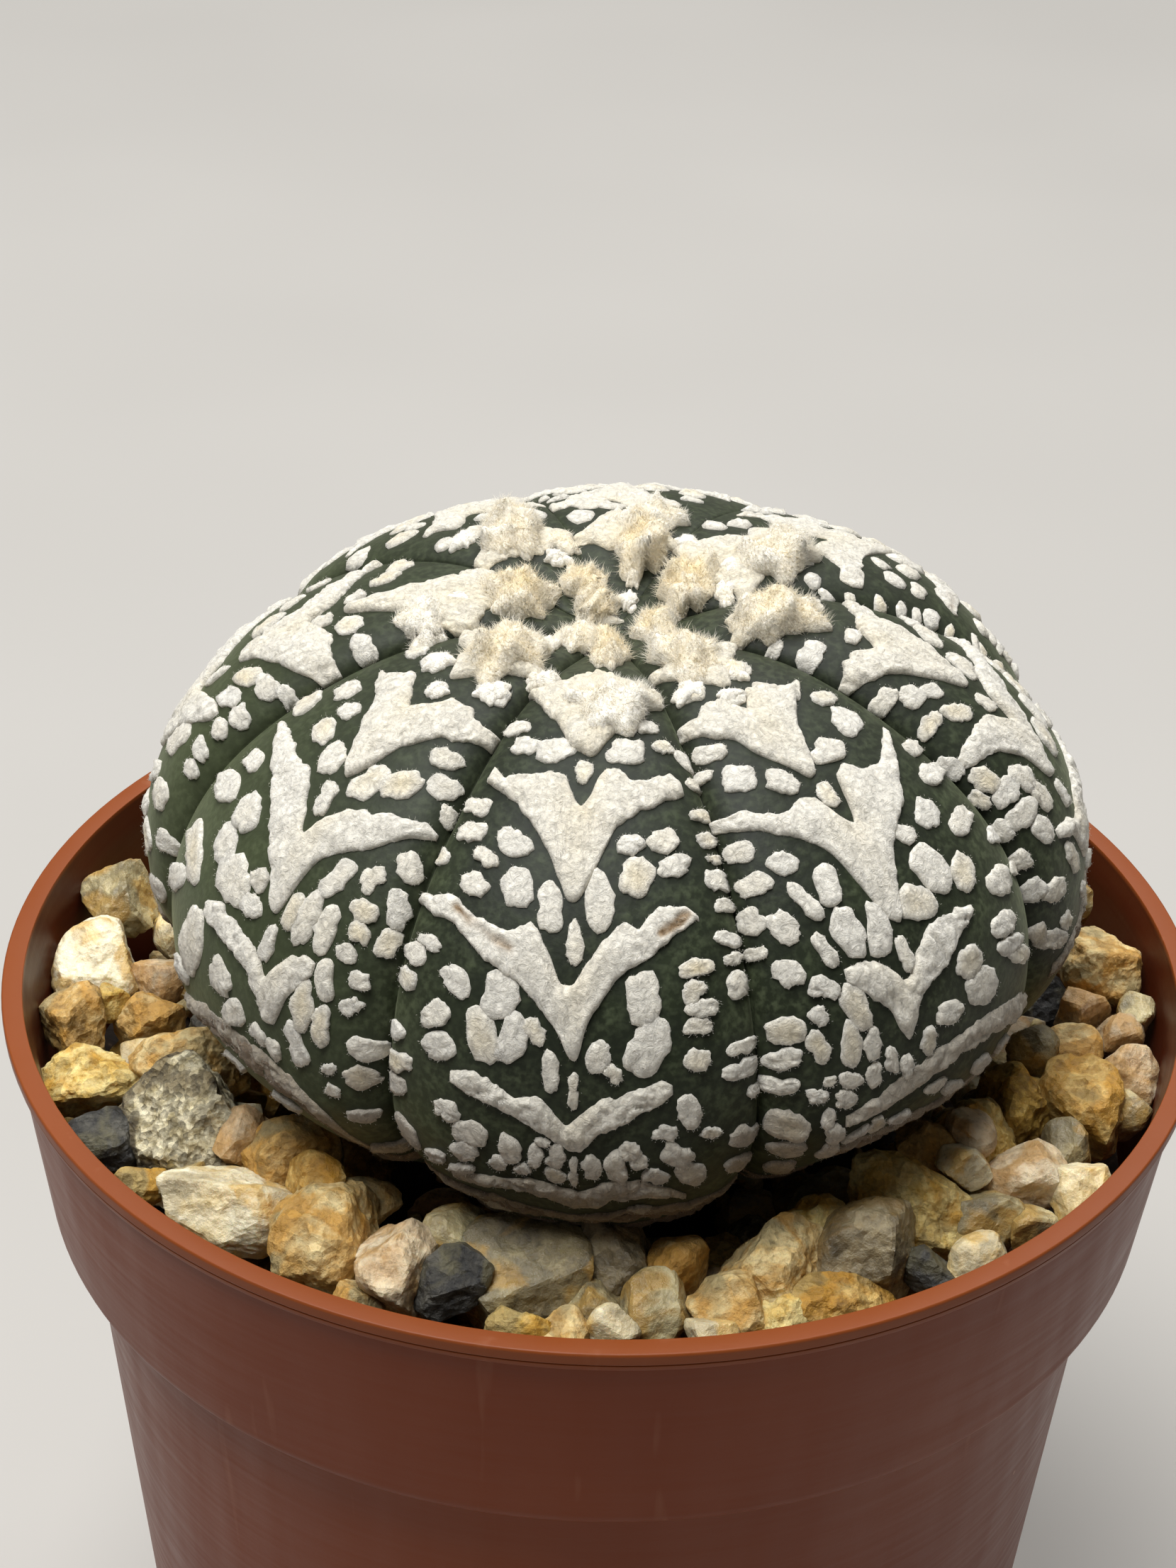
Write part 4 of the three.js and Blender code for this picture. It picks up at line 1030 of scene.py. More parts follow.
def chevronFuzz(part, random):
    # Hairs off both outlines, pointing out and up, and short ones lying over the top.
    f = fuzzSettings
    surface, normal = part["surface"], part["normal"]
    roots, ways, sizes = [], [], []
    for edge, inner in ((1, 3), (-2, -4)):
        a, b, side = surface[:-1, edge], surface[1:, edge], normal[:-1, edge]
        count = random.poisson(np.linalg.norm(b - a, axis=-1) * f["edgePerMm"])
        pick = np.repeat(np.arange(len(a)), count)
        w = random.random((len(pick), 1))
        root = a[pick] * (1 - w) + b[pick] * w
        out = unit(root - surface[:-1, inner][pick])
        up = side[pick] * random.uniform(*f["rise"], (len(pick), 1))
        ways.append(unit(out + up + random.normal(0, f["untidy"], (len(pick), 3))))
        within, deepest = f["edgeRoots"]
        roots.append(root - out * within - side[pick] * random.uniform(0, deepest, (len(pick), 1)))
        sizes.append(random.uniform(*f["edgeLength"], len(pick)))
    inside, lift = surface[:, 2:-2].reshape(-1, 3), normal[:, 2:-2].reshape(-1, 3)
    keep = random.random(len(inside)) < f["pilePerPoint"]
    astray, within = f["pileRoots"]
    roots.append(inside[keep] + random.normal(0, astray, (keep.sum(), 3)) - lift[keep] * within)
    ways.append(unit(lift[keep] * f["pileRise"] + random.normal(0, f["pileUntidy"], (keep.sum(), 3))))
    sizes.append(random.uniform(*f["pileLength"], keep.sum()))
    return np.concatenate(roots), np.concatenate(ways), np.concatenate(sizes)


def fleckFuzz(part, random):
    # Hairs round each fleck's rim, away from its centre.
    f = fuzzSettings
    rim = part["surface"][:, -2]
    out, lift = unit(rim - part["centre"][:, 0]), part["normal"][:, -2]
    rim, out, lift = (np.repeat(a.reshape(-1, 3), f["rimHairs"], axis=0) for a in (rim, out, lift))
    astray, within = f["rimRoots"]
    roots = rim + random.normal(0, astray, rim.shape) - out * within
    up = lift * random.uniform(*f["rise"], (len(out), 1))
    ways = unit(out + up + random.normal(0, f["untidy"], out.shape))
    return roots, ways, random.uniform(*f["rimLength"], len(roots))


def makeFuzz(name, parts, maker, seed):
    # All hairs of the seen ribs and a share of those of the hidden ones, as one piece.
    f = fuzzSettings
    random = np.random.default_rng(seed)
    made = []
    for part in parts:
        hairs = maker(part, random)
        keep = random.random(len(hairs[0])) < (1 if isSeen(part["rib"]) else f["hiddenShare"])
        made.append([h[keep] for h in hairs])
    roots, ways, sizes = (np.concatenate([m[k] for m in made]) for k in range(3))
    points, faces = makeSpikes(roots, ways, sizes, f["width"])
    buildPiece(name, points, [faces], feltHairMaterial, "cactus",
               {"cream": np.repeat(random.uniform(0, f["cream"], len(roots)), 4)})


makeFuzz("chevronFuzz", chevronMeshes, chevronFuzz, 71)
makeFuzz("fleckFuzz", fleckMeshes, fleckFuzz, 72)


woolSettings = {
    "seed": 90,
    "thick": 0.62,
    "scale": 0.88,
    "angles": 44,
    "rings": (11, 0.85),  # how many, and the power that packs them outwards
    "base": 0.15,
    "sunk": 0.35,
    "outline": (.09, .12, .12, .10),
    "outlineWaves": (2, 3, 5, 9),
    "dome": 0.7,
    "upright": 0.6,
    "lumps": [(0.45, 0.8), (0.22, 0.28)],  # share of the height and size, broad and fine
    "wispsPerSquareMm": 1.0,
    "wispReach": 0.88,
    "wispWidth": 0.5,
    "wispHeight": (0.05, 0.42),
    "wispUpright": 0.5,
    "wispUntidy": 0.25,
    "wispRoughness": 0.5,
    "wispEdge": (1.6, 4),  # wisps end at the rim by k*(1-r^p)
    "lean": 1.3,
    # The last beige number takes beige off raised wisps: painted light on their tips.
    "beige": (1.15, 0.85, 1.3, 0.35),  # in the middle, less towards the rim by a power, and less on a wisp
    "hairsPerSquareMm": 212,
    "hairLength": (0.20, 0.75),
    "hairWidth": 0.014,
    "hairGather": (1.6, 0.3),  # height over a wisp's tip that hairs run to, and how strongly
    "hairRise": 0.45,
    "hairFall": 0.6,
    "hairUntidy": 0.42,
    "hairRoot": 0.06,
    "hairCream": 0.8,
    "apexGap": 0.012,  # of s, the nearest that wool stands to the apex
}
# Each tuft: x and y in the body's own plane, length and breadth in mm, heading of its length in degrees from
# +X, height, and how beige its middle is.
woolTufts = [
    (-5.7, -5.3, 5.6, 4.6, 62, 1.25, .75), (-.2, -3.6, 5.4, 2.3, 92, 1.15, .95),
    (.1, -10.4, 5.2, 4.6, 0, .95, .3), (4, -5.5, 5.8, 3.7, 118, 1.2, .7),
    (8.9, -1.7, 5.2, 4.3, 20, 1.3, .75), (4.2, 2.9, 5.6, 3.3, 80, 1.45, .95),
    (9.3, 5.3, 5.4, 4.6, 40, 1.1, .5), (1.6, 6.9, 6.4, 3.2, 92, 1.45, .85), (-5.8, 8, 6, 4, 100, 1.3, .6),
    (-5.2, 1.6, 4.6, 4.2, 10, 1.35, .9), (-1.5, 3.2, 3.8, 3, 110, 1.2, .95),
    (-.8, 1.3, 3.4, 2.6, 90, 1, .85), (2.5, -.7, 4.2, 2.6, 115, 1.15, .9),
    (-1.9, -1.7, 3.2, 2.3, 80, .9, .6), (-10.3, -1.5, 4.6, 3, 80, .8, .35),
    (-3.6, -7.4, 2.2, 1.8, 20, .7, .4), (2.3, 9.6, 5, 2.6, 5, .8, .45), (-3.1, 5.6, 1.8, 1.4, 0, .5, .2),
    (.9, 2.5, 1.8, 1.2, 80, .5, .15), (1.2, 4.4, 2, 1, 85, .6, .5), (6.3, 1.9, 2.2, 1.2, 90, .5, .35),
    (6.8, 4.2, 1.9, 1.5, 40, .5, .1), (-8.6, .5, 1.7, 1.4, 0, .45, .1), (4.3, 7.1, 2, 1.1, 120, .45, .1),
    (-3.4, -3, 2.2, 1.3, 80, .5, .2), (-8.6, 7.4, 2.2, 1.5, 80, .45, .1),
    (-2.9, 7.1, 2.4, 1.5, 150, .6, .7), (6.5, -6.9, 2.2, 1.5, 120, .5, .6),
    (4.1, -8.9, 2, 1.7, 40, .45, .1), (6.2, -9.3, 1.4, 1.1, 30, .4, .1), (-6.2, -8.8, 2, 1.8, 20, .45, .1),
    (-9.2, -5.8, 2.1, 1.7, 20, .45, .1), (-9.1, -8.4, 1.3, 1.1, 0, .4, .1),
]


def onCrown(x, y):
    # The (s, u) of a point of the body's own plane: s from the profile's radius, u from the azimuth.
    s = np.linspace(0, 0.6, 400)
    share = np.interp(np.hypot(x, y), bodyProfile(s)[0], s)
    azimuth = (np.degrees(np.arctan2(y, x)) - furrows[0]) % 360
    edges = np.append(furrows - furrows[0], 360)
    rib = np.clip(np.searchsorted(edges, azimuth, side="right") - 1, 0, 7)
    return share, rib + (azimuth - edges[rib]) / ribSpans[rib]


def tuftPoints(tuft, level, angle, edge):
    # Skin points and normals at a share of the way out to a tuft's edge, in the body's plane and turned to
    # its heading.
    x, y, length, breadth, heading = tuft
    along, aside = edge * level * np.cos(angle) * length / 2, edge * level * np.sin(angle) * breadth / 2
    dx, dy = turned(along, aside, math.radians(heading))
    s, u = onCrown(x + dx, y + dy)
    return skinAt(np.maximum(s, woolSettings["apexGap"]), u)


def makeTuft(tuft, height, beige, rings, random):
    # A cushion H*(1-r^2)^0.7 inside a star-shaped outline. Wisps stand on it: the surface is drawn out by
    # L*exp(-(distance/width)^2) along each wisp's own leaning direction, and hairs run together towards
    # their tips.
    w = woolSettings
    angles, area = w["angles"], tuft[2] * tuft[3]
    turnBy = np.linspace(0, 2 * np.pi, angles, endpoint=False)
    waves = zip(w["outline"], w["outlineWaves"], random.uniform(0, 2 * np.pi, 4))
    outline = 1 + sum(a * np.sin(n * turnBy + p) for a, n, p in waves)
    base, normal = tuftPoints(tuft, rings[:, None], turnBy[None, :], outline[None, :])
    up = unit(normal + np.array([0, 0, w["upright"]]))
    middle = base[0].mean(axis=0)
    soft = height * w["thick"] * np.clip(1 - rings[:, None] ** 2, 0, 1) ** w["dome"]
    (broad, broadSize), (fine, fineSize) = w["lumps"]
    lumps = broad * layeredNoise(base, broadSize, 5) + fine * latticeNoise(base, fineSize, 15)
    count = max(int(area * w["wispsPerSquareMm"] * min(height, 1)), 1)
    level, angle = np.sqrt(random.random(count)) * w["wispReach"], random.uniform(0, 2 * np.pi, count)
    edge = np.interp(angle, np.append(turnBy, 2 * np.pi), np.append(outline, outline[0]))
    feet, feetUp = tuftPoints(tuft, level, angle, edge)
    wisps = unit(feetUp + np.array([0, 0, w["wispUpright"]]) +
                 unit(feet - middle) * level[:, None] * w["lean"] +
                 random.normal(0, w["wispUntidy"], feet.shape))
    wisps = wisps * (height * random.uniform(*w["wispHeight"], count))[:, None]
    gap = np.linalg.norm(base[:, :, None] - feet, axis=-1)
    steep, power = w["wispEdge"]
    bell = np.exp(-(gap / w["wispWidth"]) ** 2) * np.clip(steep * (1 - rings ** power), 0, 1)[:, None, None]
    raised = (bell[..., None] * wisps).sum(axis=2) * (1 + w["wispRoughness"] * lumps)[..., None]
    cushion = base + up * (w["base"] + soft * (1 + lumps))[..., None] + raised
    cushion[0] = cushion[0].mean(axis=0)
    # Raised wisps lose some beige: painted light that makes their tips paler than the hollows between them.
    inMiddle, lost, curve, wispTipLight = w["beige"]
    shine = np.clip(bell.max(axis=2), 0, 1)
    cream = np.clip(beige * (inMiddle - lost * rings[:, None] ** curve) - wispTipLight * shine, 0, 1)
    grid = np.concatenate([cushion, base[-1:] - normal[-1:] * w["sunk"]])
    rows = len(grid)
    part = {"points": grid.reshape(-1, 3), "quads": gridFaces(rows, angles, wrap=True)[angles:, ::-1],
            "fan": fanFaces(0, angles, angles), "under": (rows * angles - 1 - np.arange(angles))[None, :],
            "cream": np.concatenate([cream, cream[-1:]])}
    many = int(area * 0.8 * w["hairsPerSquareMm"] * np.clip(height, 0.35, 1))
    row = np.clip((np.sqrt(random.random(many)) * (len(rings) - 1)).astype(int), 0, len(rings) - 2)
    column, share = random.integers(0, angles, many), random.random((many, 1))
    root = cushion[row, column] * (1 - share) + cushion[row + 1, (column + 1) % angles] * share
    nearest = np.argmin(gap[row, column], axis=1)
    over, strength = w["hairGather"]
    pull = unit(feet[nearest] + wisps[nearest] * over + up[row, column] * w["base"] - root)
    fall = unit(base[row, column] - middle) * rings[row][:, None]
    way = unit(pull * strength + normal[row, column] * w["hairRise"] + fall * w["hairFall"] +
               random.normal(0, w["hairUntidy"], root.shape))
    size = random.uniform(*w["hairLength"], many) * np.clip(height, 0.4, 1.1)
    creams = np.clip(cream[row, column] * w["hairCream"], 0, 1)
    return part, (root - way * w["hairRoot"], way, size, creams)


def makeWool():
    # Every tuft's cushion in one piece and every tuft's hairs in another.
    w = woolSettings
    random = np.random.default_rng(w["seed"])
    count, power = w["rings"]
    rings = np.append(0.001, np.linspace(0, 1, count)[1:] ** power)
    made = []
    for x, y, length, breadth, heading, height, beige in woolTufts:
        tuft = (x, y, length * w["scale"], breadth * w["scale"], heading)
        made.append(makeTuft(tuft, height, beige, rings, random))
    cushions, hairs = zip(*made)
    points, faces, values = joinParts(cushions, ["cream", "grey", "dry"], ["quads", "fan", "under"])
    buildPiece("woolCushions", points, faces, woolMaterial, "cactus", values)
    roots, ways, sizes, creams = (np.concatenate(part) for part in zip(*hairs))
    points, faces = makeSpikes(roots, ways, sizes, w["hairWidth"])
    buildPiece("woolHairs", points, [faces], woolHairMaterial, "cactus",
               {"cream": np.repeat(creams, 4)})


makeWool()


potSettings = {"segments": 168, "drainHoles": 6, "drainRadius": 2.4, "drainCircle": 16.0,
               "drainSegments": 40, "cutter": (2, 10),  # mm, height of its middle and its depth
               "innerLip": (33.79, 63.93), "withinShade": 0.85}
# Corners of the wall's outline from the middle of the underside, out, up and back in: radius, height,
# rounding.
potOutline = [
    (0, 1.2, 0), (23.9, 1.2, 0.5), (24.5, 0, 0.5), (26.7, 0, 0.5), (27.15, 0.7, 0.5),
    (31.15, 50.1, 0.35), (32.55, 50.35, 0.35), (33.1, 50.75, 0.5), (34.45, 62.58, 0.10),
    (34.48, 62.78, 0.06), (34.86, 62.88, 0.06), (34.92, 63.18, 0.03), (34.87, 63.24, 0.02),
    (34.97, 63.32, 0.04), (35.0, 63.88, 0.08), (34.92, 64.0, 0.06), (33.80, 63.98, 0.05),
    (33.72, 63.6, 0.10), (33.35, 62.3, 0.4), (31.95, 51.2, 0.8), (30.1, 49.0, 0.8), (26.2, 3.6, 0.6),
    (25.5, 3.0, 0.6), (0, 3.0, 0),
]


def roundedOutline(corners, steps=5):
    # Each corner becomes a quadratic curve (1-w)^2*A + 2w(1-w)*P + w^2*B between points that far along its
    # edges.
    corners = np.array(corners, float)
    points = [corners[0, :2]]
    for before, here, after in zip(corners, corners[1:], corners[2:]):
        a, b = before[:2] - here[:2], after[:2] - here[:2]
        a = here[:2] + a / np.linalg.norm(a) * min(here[2], np.linalg.norm(a) / 2)
        b = here[:2] + b / np.linalg.norm(b) * min(here[2], np.linalg.norm(b) / 2)
        for w in np.linspace(0, 1, steps):
            points.append((1 - w) ** 2 * a + 2 * w * (1 - w) * here[:2] + w ** 2 * b)
    return np.array(points + [corners[-1, :2]])


def plasticMaterial():
    # Injection-moulded polypropylene, terracotta brown: satin, faint flow lines, fine scuffs, a few dust
    # specks, painted light that makes the lip paler, and painted shade that darkens the inner wall.
    material, tree = newMaterial("mouldedPolypropylene")
    place = addNode(tree, "TexCoord")
    cloud = addNode(tree, "TexNoise", {"Vector": place.outputs["Object"], "Scale": 45.0, "Detail": 4.0})
    tall = addNode(tree, "Mapping", {"Vector": place.outputs["Object"], "Scale": (1.0, 1.0, 0.06)})
    flow = addNode(tree, "TexNoise", {"Vector": tall.outputs["Vector"], "Scale": 420.0, "Detail": 3.0})
    flat = addNode(tree, "Mapping", {"Vector": place.outputs["Object"], "Scale": (0.04, 0.04, 1.0)})
    turned = addNode(tree, "TexNoise", {"Vector": flat.outputs["Vector"], "Scale": 2400.0, "Detail": 2.0})
    grain = addNode(tree, "TexNoise", {"Vector": place.outputs["Object"], "Scale": 3600.0, "Detail": 3.0})
    specks = addNode(tree, "TexVoronoi", {"Vector": place.outputs["Object"], "Scale": 170.0}, feature="F1")
    colour = addNode(tree, "ValToRGB", {"Fac": cloud.outputs["Fac"]},
                     stops=[(0.3, "#6c2c09"), (0.7, "#77350f")])
    dust = addNode(tree, "ValToRGB", {"Fac": specks.outputs["Distance"]}, stops=[(0.018, 0.4), (0.032, 0.0)])
    scuffs = addNode(tree, "ValToRGB", {"Fac": flow.outputs["Fac"]}, stops=[(0.66, 0.0), (0.76, 0.14)])
    pale = addNode(tree, "Math", {0: dust.outputs["Color"], 1: scuffs.outputs["Color"]}, operation="MAXIMUM")
    dusted = addNode(tree, "Mix", {0: pale.outputs[0], 6: colour.outputs["Color"], 7: toLinear("#c49a80")},
                     data_type="RGBA")
    # Painted light: the lip is mixed paler, as the lamps overhead light it.
    high = addNode(tree, "SeparateXYZ", {"Vector": place.outputs["Object"]})
    rim = addNode(tree, "MapRange", {"Value": high.outputs["Z"], 1: 0.0627, 2: 0.0632, 3: 0.0, 4: 0.35})
    paintedLipLight = addNode(tree, "Mix", {0: rim.outputs[0], 6: dusted.outputs[2], 7: toLinear("#8e5128")},
                     data_type="RGBA")
    # Painted shade: the inner wall is mixed dark brown.
    within = addNode(tree, "Attribute", attribute_name="within")
    paintedInnerShade = addNode(tree, "Mix", {0: within.outputs["Fac"], 6: paintedLipLight.outputs[2], 7: toLinear("#3a1509")},
                   data_type="RGBA")
    lines = addNode(tree, "Mix", {0: 0.5, 2: flow.outputs["Fac"], 3: turned.outputs["Fac"]})
    gloss = addNode(tree, "MapRange", {"Value": lines.outputs[0], 1: 0.3, 2: 0.7, 3: 0.34, 4: 0.52})
    height = addNode(tree, "Mix", {0: 0.35, 2: lines.outputs[0], 3: grain.outputs["Fac"]})
    bump = addNode(tree, "Bump", {"Strength": 0.25, "Distance": 0.00006, "Height": height.outputs[0]})
    shader = addNode(tree, "BsdfPrincipled", {
        "Base Color": paintedInnerShade.outputs[2], "Roughness": gloss.outputs[0], "Specular IOR Level": 0.2,
        "IOR": 1.49, "Normal": bump.outputs["Normal"],
        "Subsurface Weight": 0.06, "Subsurface Radius": (1.0, 0.35, 0.15), "Subsurface Scale": 0.0008})
    addNode(tree, "OutputMaterial", {"Surface": shader.outputs["BSDF"]})
    return material


def cutDrainHoles(pot):
    # Upright rods evenly round a circle, taken out of the pot's floor.
    p = potSettings
    middle, depth = p["cutter"]
    holes = bmesh.new()
    for k in range(p["drainHoles"]):
        angle = 2 * math.pi * k / p["drainHoles"]
        x, y = p["drainCircle"] * math.cos(angle) * mm, p["drainCircle"] * math.sin(angle) * mm
        bmesh.ops.create_cone(holes, cap_ends=True, segments=p["drainSegments"],
                              radius1=p["drainRadius"] * mm, radius2=p["drainRadius"] * mm,
                              depth=depth * mm, matrix=Matrix.Translation((x, y, middle * mm)))
    mesh = bpy.data.meshes.new("drainCutter")
    holes.to_mesh(mesh)
    holes.free()
    cutter = addObject("drainCutter", mesh)
    cut = pot.modifiers.new("drainHoles", "BOOLEAN")
    cut.operation, cut.object, cut.solver = "DIFFERENCE", cutter, "EXACT"
    bpy.context.view_layer.update()
    made = bpy.data.meshes.new_from_object(pot.evaluated_get(bpy.context.evaluated_depsgraph_get()))
    pot.modifiers.remove(cut)
    pot.data = made
    bpy.data.objects.remove(cutter)


def makePot():
    # The outline spun about Z: x = r*cos(a), y = r*sin(a). The drain holes are then cut through the floor.
    outline = roundedOutline(potOutline)
    a = np.linspace(0, 2 * np.pi, potSettings["segments"], endpoint=False)
    body = outline[1:-1]
    radius, height = body[:, :1], np.repeat(body[:, 1:], len(a), axis=1)
    grid = np.stack([radius * np.cos(a), radius * np.sin(a), height], -1)
    rows, columns = grid.shape[:2]
    points = np.concatenate([grid.reshape(-1, 3), [[0, 0, outline[0, 1]], [0, 0, outline[-1, 1]]]])
    faces = [gridFaces(rows, columns, wrap=True), fanFaces(rows * columns, 0, columns, True),
             fanFaces(rows * columns + 1, (rows - 1) * columns, columns)]
    # Points past the lip's inner edge carry the painted shade of the inner wall.
    edge = np.argmin(np.linalg.norm(body - np.array(potSettings["innerLip"]), axis=1))
    within = np.append(np.repeat(np.arange(rows) > edge, columns), [False, True])
    pot = buildPiece("potShell", points, faces, plasticMaterial(), "pot",
                     {"within": within * potSettings["withinShade"]})
    cutDrainHoles(pot)


makePot()


def mixMaterial():
    # Damp peaty potting mix, pressed: near-black brown crumbs with paler bark and grit between them.
    material, tree = newMaterial("pressedPottingMix")
    place = addNode(tree, "TexCoord")
    crumbs = addNode(tree, "TexVoronoi", {"Vector": place.outputs["Object"], "Scale": 700.0})
    broad = addNode(tree, "TexNoise", {"Vector": place.outputs["Object"], "Scale": 900.0, "Detail": 6.0})
    colour = addNode(tree, "ValToRGB", {"Fac": broad.outputs["Fac"]},
                     stops=[(0.3, "#17100b"), (0.62, "#33241a"), (0.74, "#6d573e")])
    bump = addNode(tree, "Bump", {"Strength": 1.0, "Distance": 0.0005, "Height": crumbs.outputs["Distance"]})
    shader = addNode(tree, "BsdfPrincipled", {"Base Color": colour.outputs["Color"], "Roughness": 0.92,
                                              "Normal": bump.outputs["Normal"]})
    addNode(tree, "OutputMaterial", {"Surface": shader.outputs["BSDF"]})
    return material


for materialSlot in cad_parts["potting_mix"].material_slots:
    materialSlot.material = mixMaterial()


# Crushed grit of mixed rocks, little worn: colours dark, middle, pale, of the stains and of the smoky
# patches; grain in mm; gloss; how much light enters; number of cut faces and how sharp they meet; crumbling
# in mm; how much the grains differ; and each kind's share of the seeded stones.
kindFields = ("colours", "grain", "gloss", "clear", "facets", "sharp", "crumble", "speckle", "share")
gritKinds = {name: dict(zip(kindFields, values)) for name, *values in [
    ("goldenGrit", ["#94702c", "#d1aa4f", "#f4dc94", "#d09c34", "#b09a62"], 0.75, 0.42, 0.2, 15, 34, 0.24,
     0.45, 0.14),
    ("amberGrit", ["#7d5920", "#c09343", "#ecc97c", "#c08d30", "#a08449"], 0.8, 0.36, 0.2, 13, 40, 0.2, 0.4,
     0.18),
    ("ochreGrit", ["#95743a", "#cfa65f", "#f3dba0", "#c89643", "#aa9a6e"], 0.8, 0.42, 0.2, 13, 44, 0.18,
     0.4, 0.14),
    ("creamQuartz", ["#b99b62", "#e3cd99", "#faeecb", "#dcb76c", "#c3b592"], 1.3, 0.25, 0.35, 12, 70, 0.12,
     0.25, 0.14),
    ("greyQuartz", ["#655a43", "#9c8e69", "#d2c395", "#b5924f", "#81775d"], 1.4, 0.22, 0.35, 12, 70, 0.12,
     0.3, 0.14),
    ("smokyQuartz", ["#463f30", "#7a6e55", "#ab9c7a", "#907648", "#5c5342"], 1.2, 0.24, 0.2, 12, 60, 0.13,
     0.4, 0.06),
    ("pinkFeldspar", ["#a5835a", "#d4b386", "#efdcb8", "#c39a60", "#b3a184"], 1.1, 0.32, 0.28, 12, 60, 0.13,
     0.28, 0.12),
    ("darkSlate", ["#191918", "#31302e", "#605d53", "#67624a", "#3f3e3a"], 0.7, 0.3, 0.0, 12, 60, 0.14, 0.5,
     0.05),
    ("speckledGranite", ["#574a32", "#b7a87e", "#fdf2ce", "#4c3f28", "#857656"], 0.42, 0.32, 0.05, 13, 34,
     0.3, 0.9, 0.03),
]}
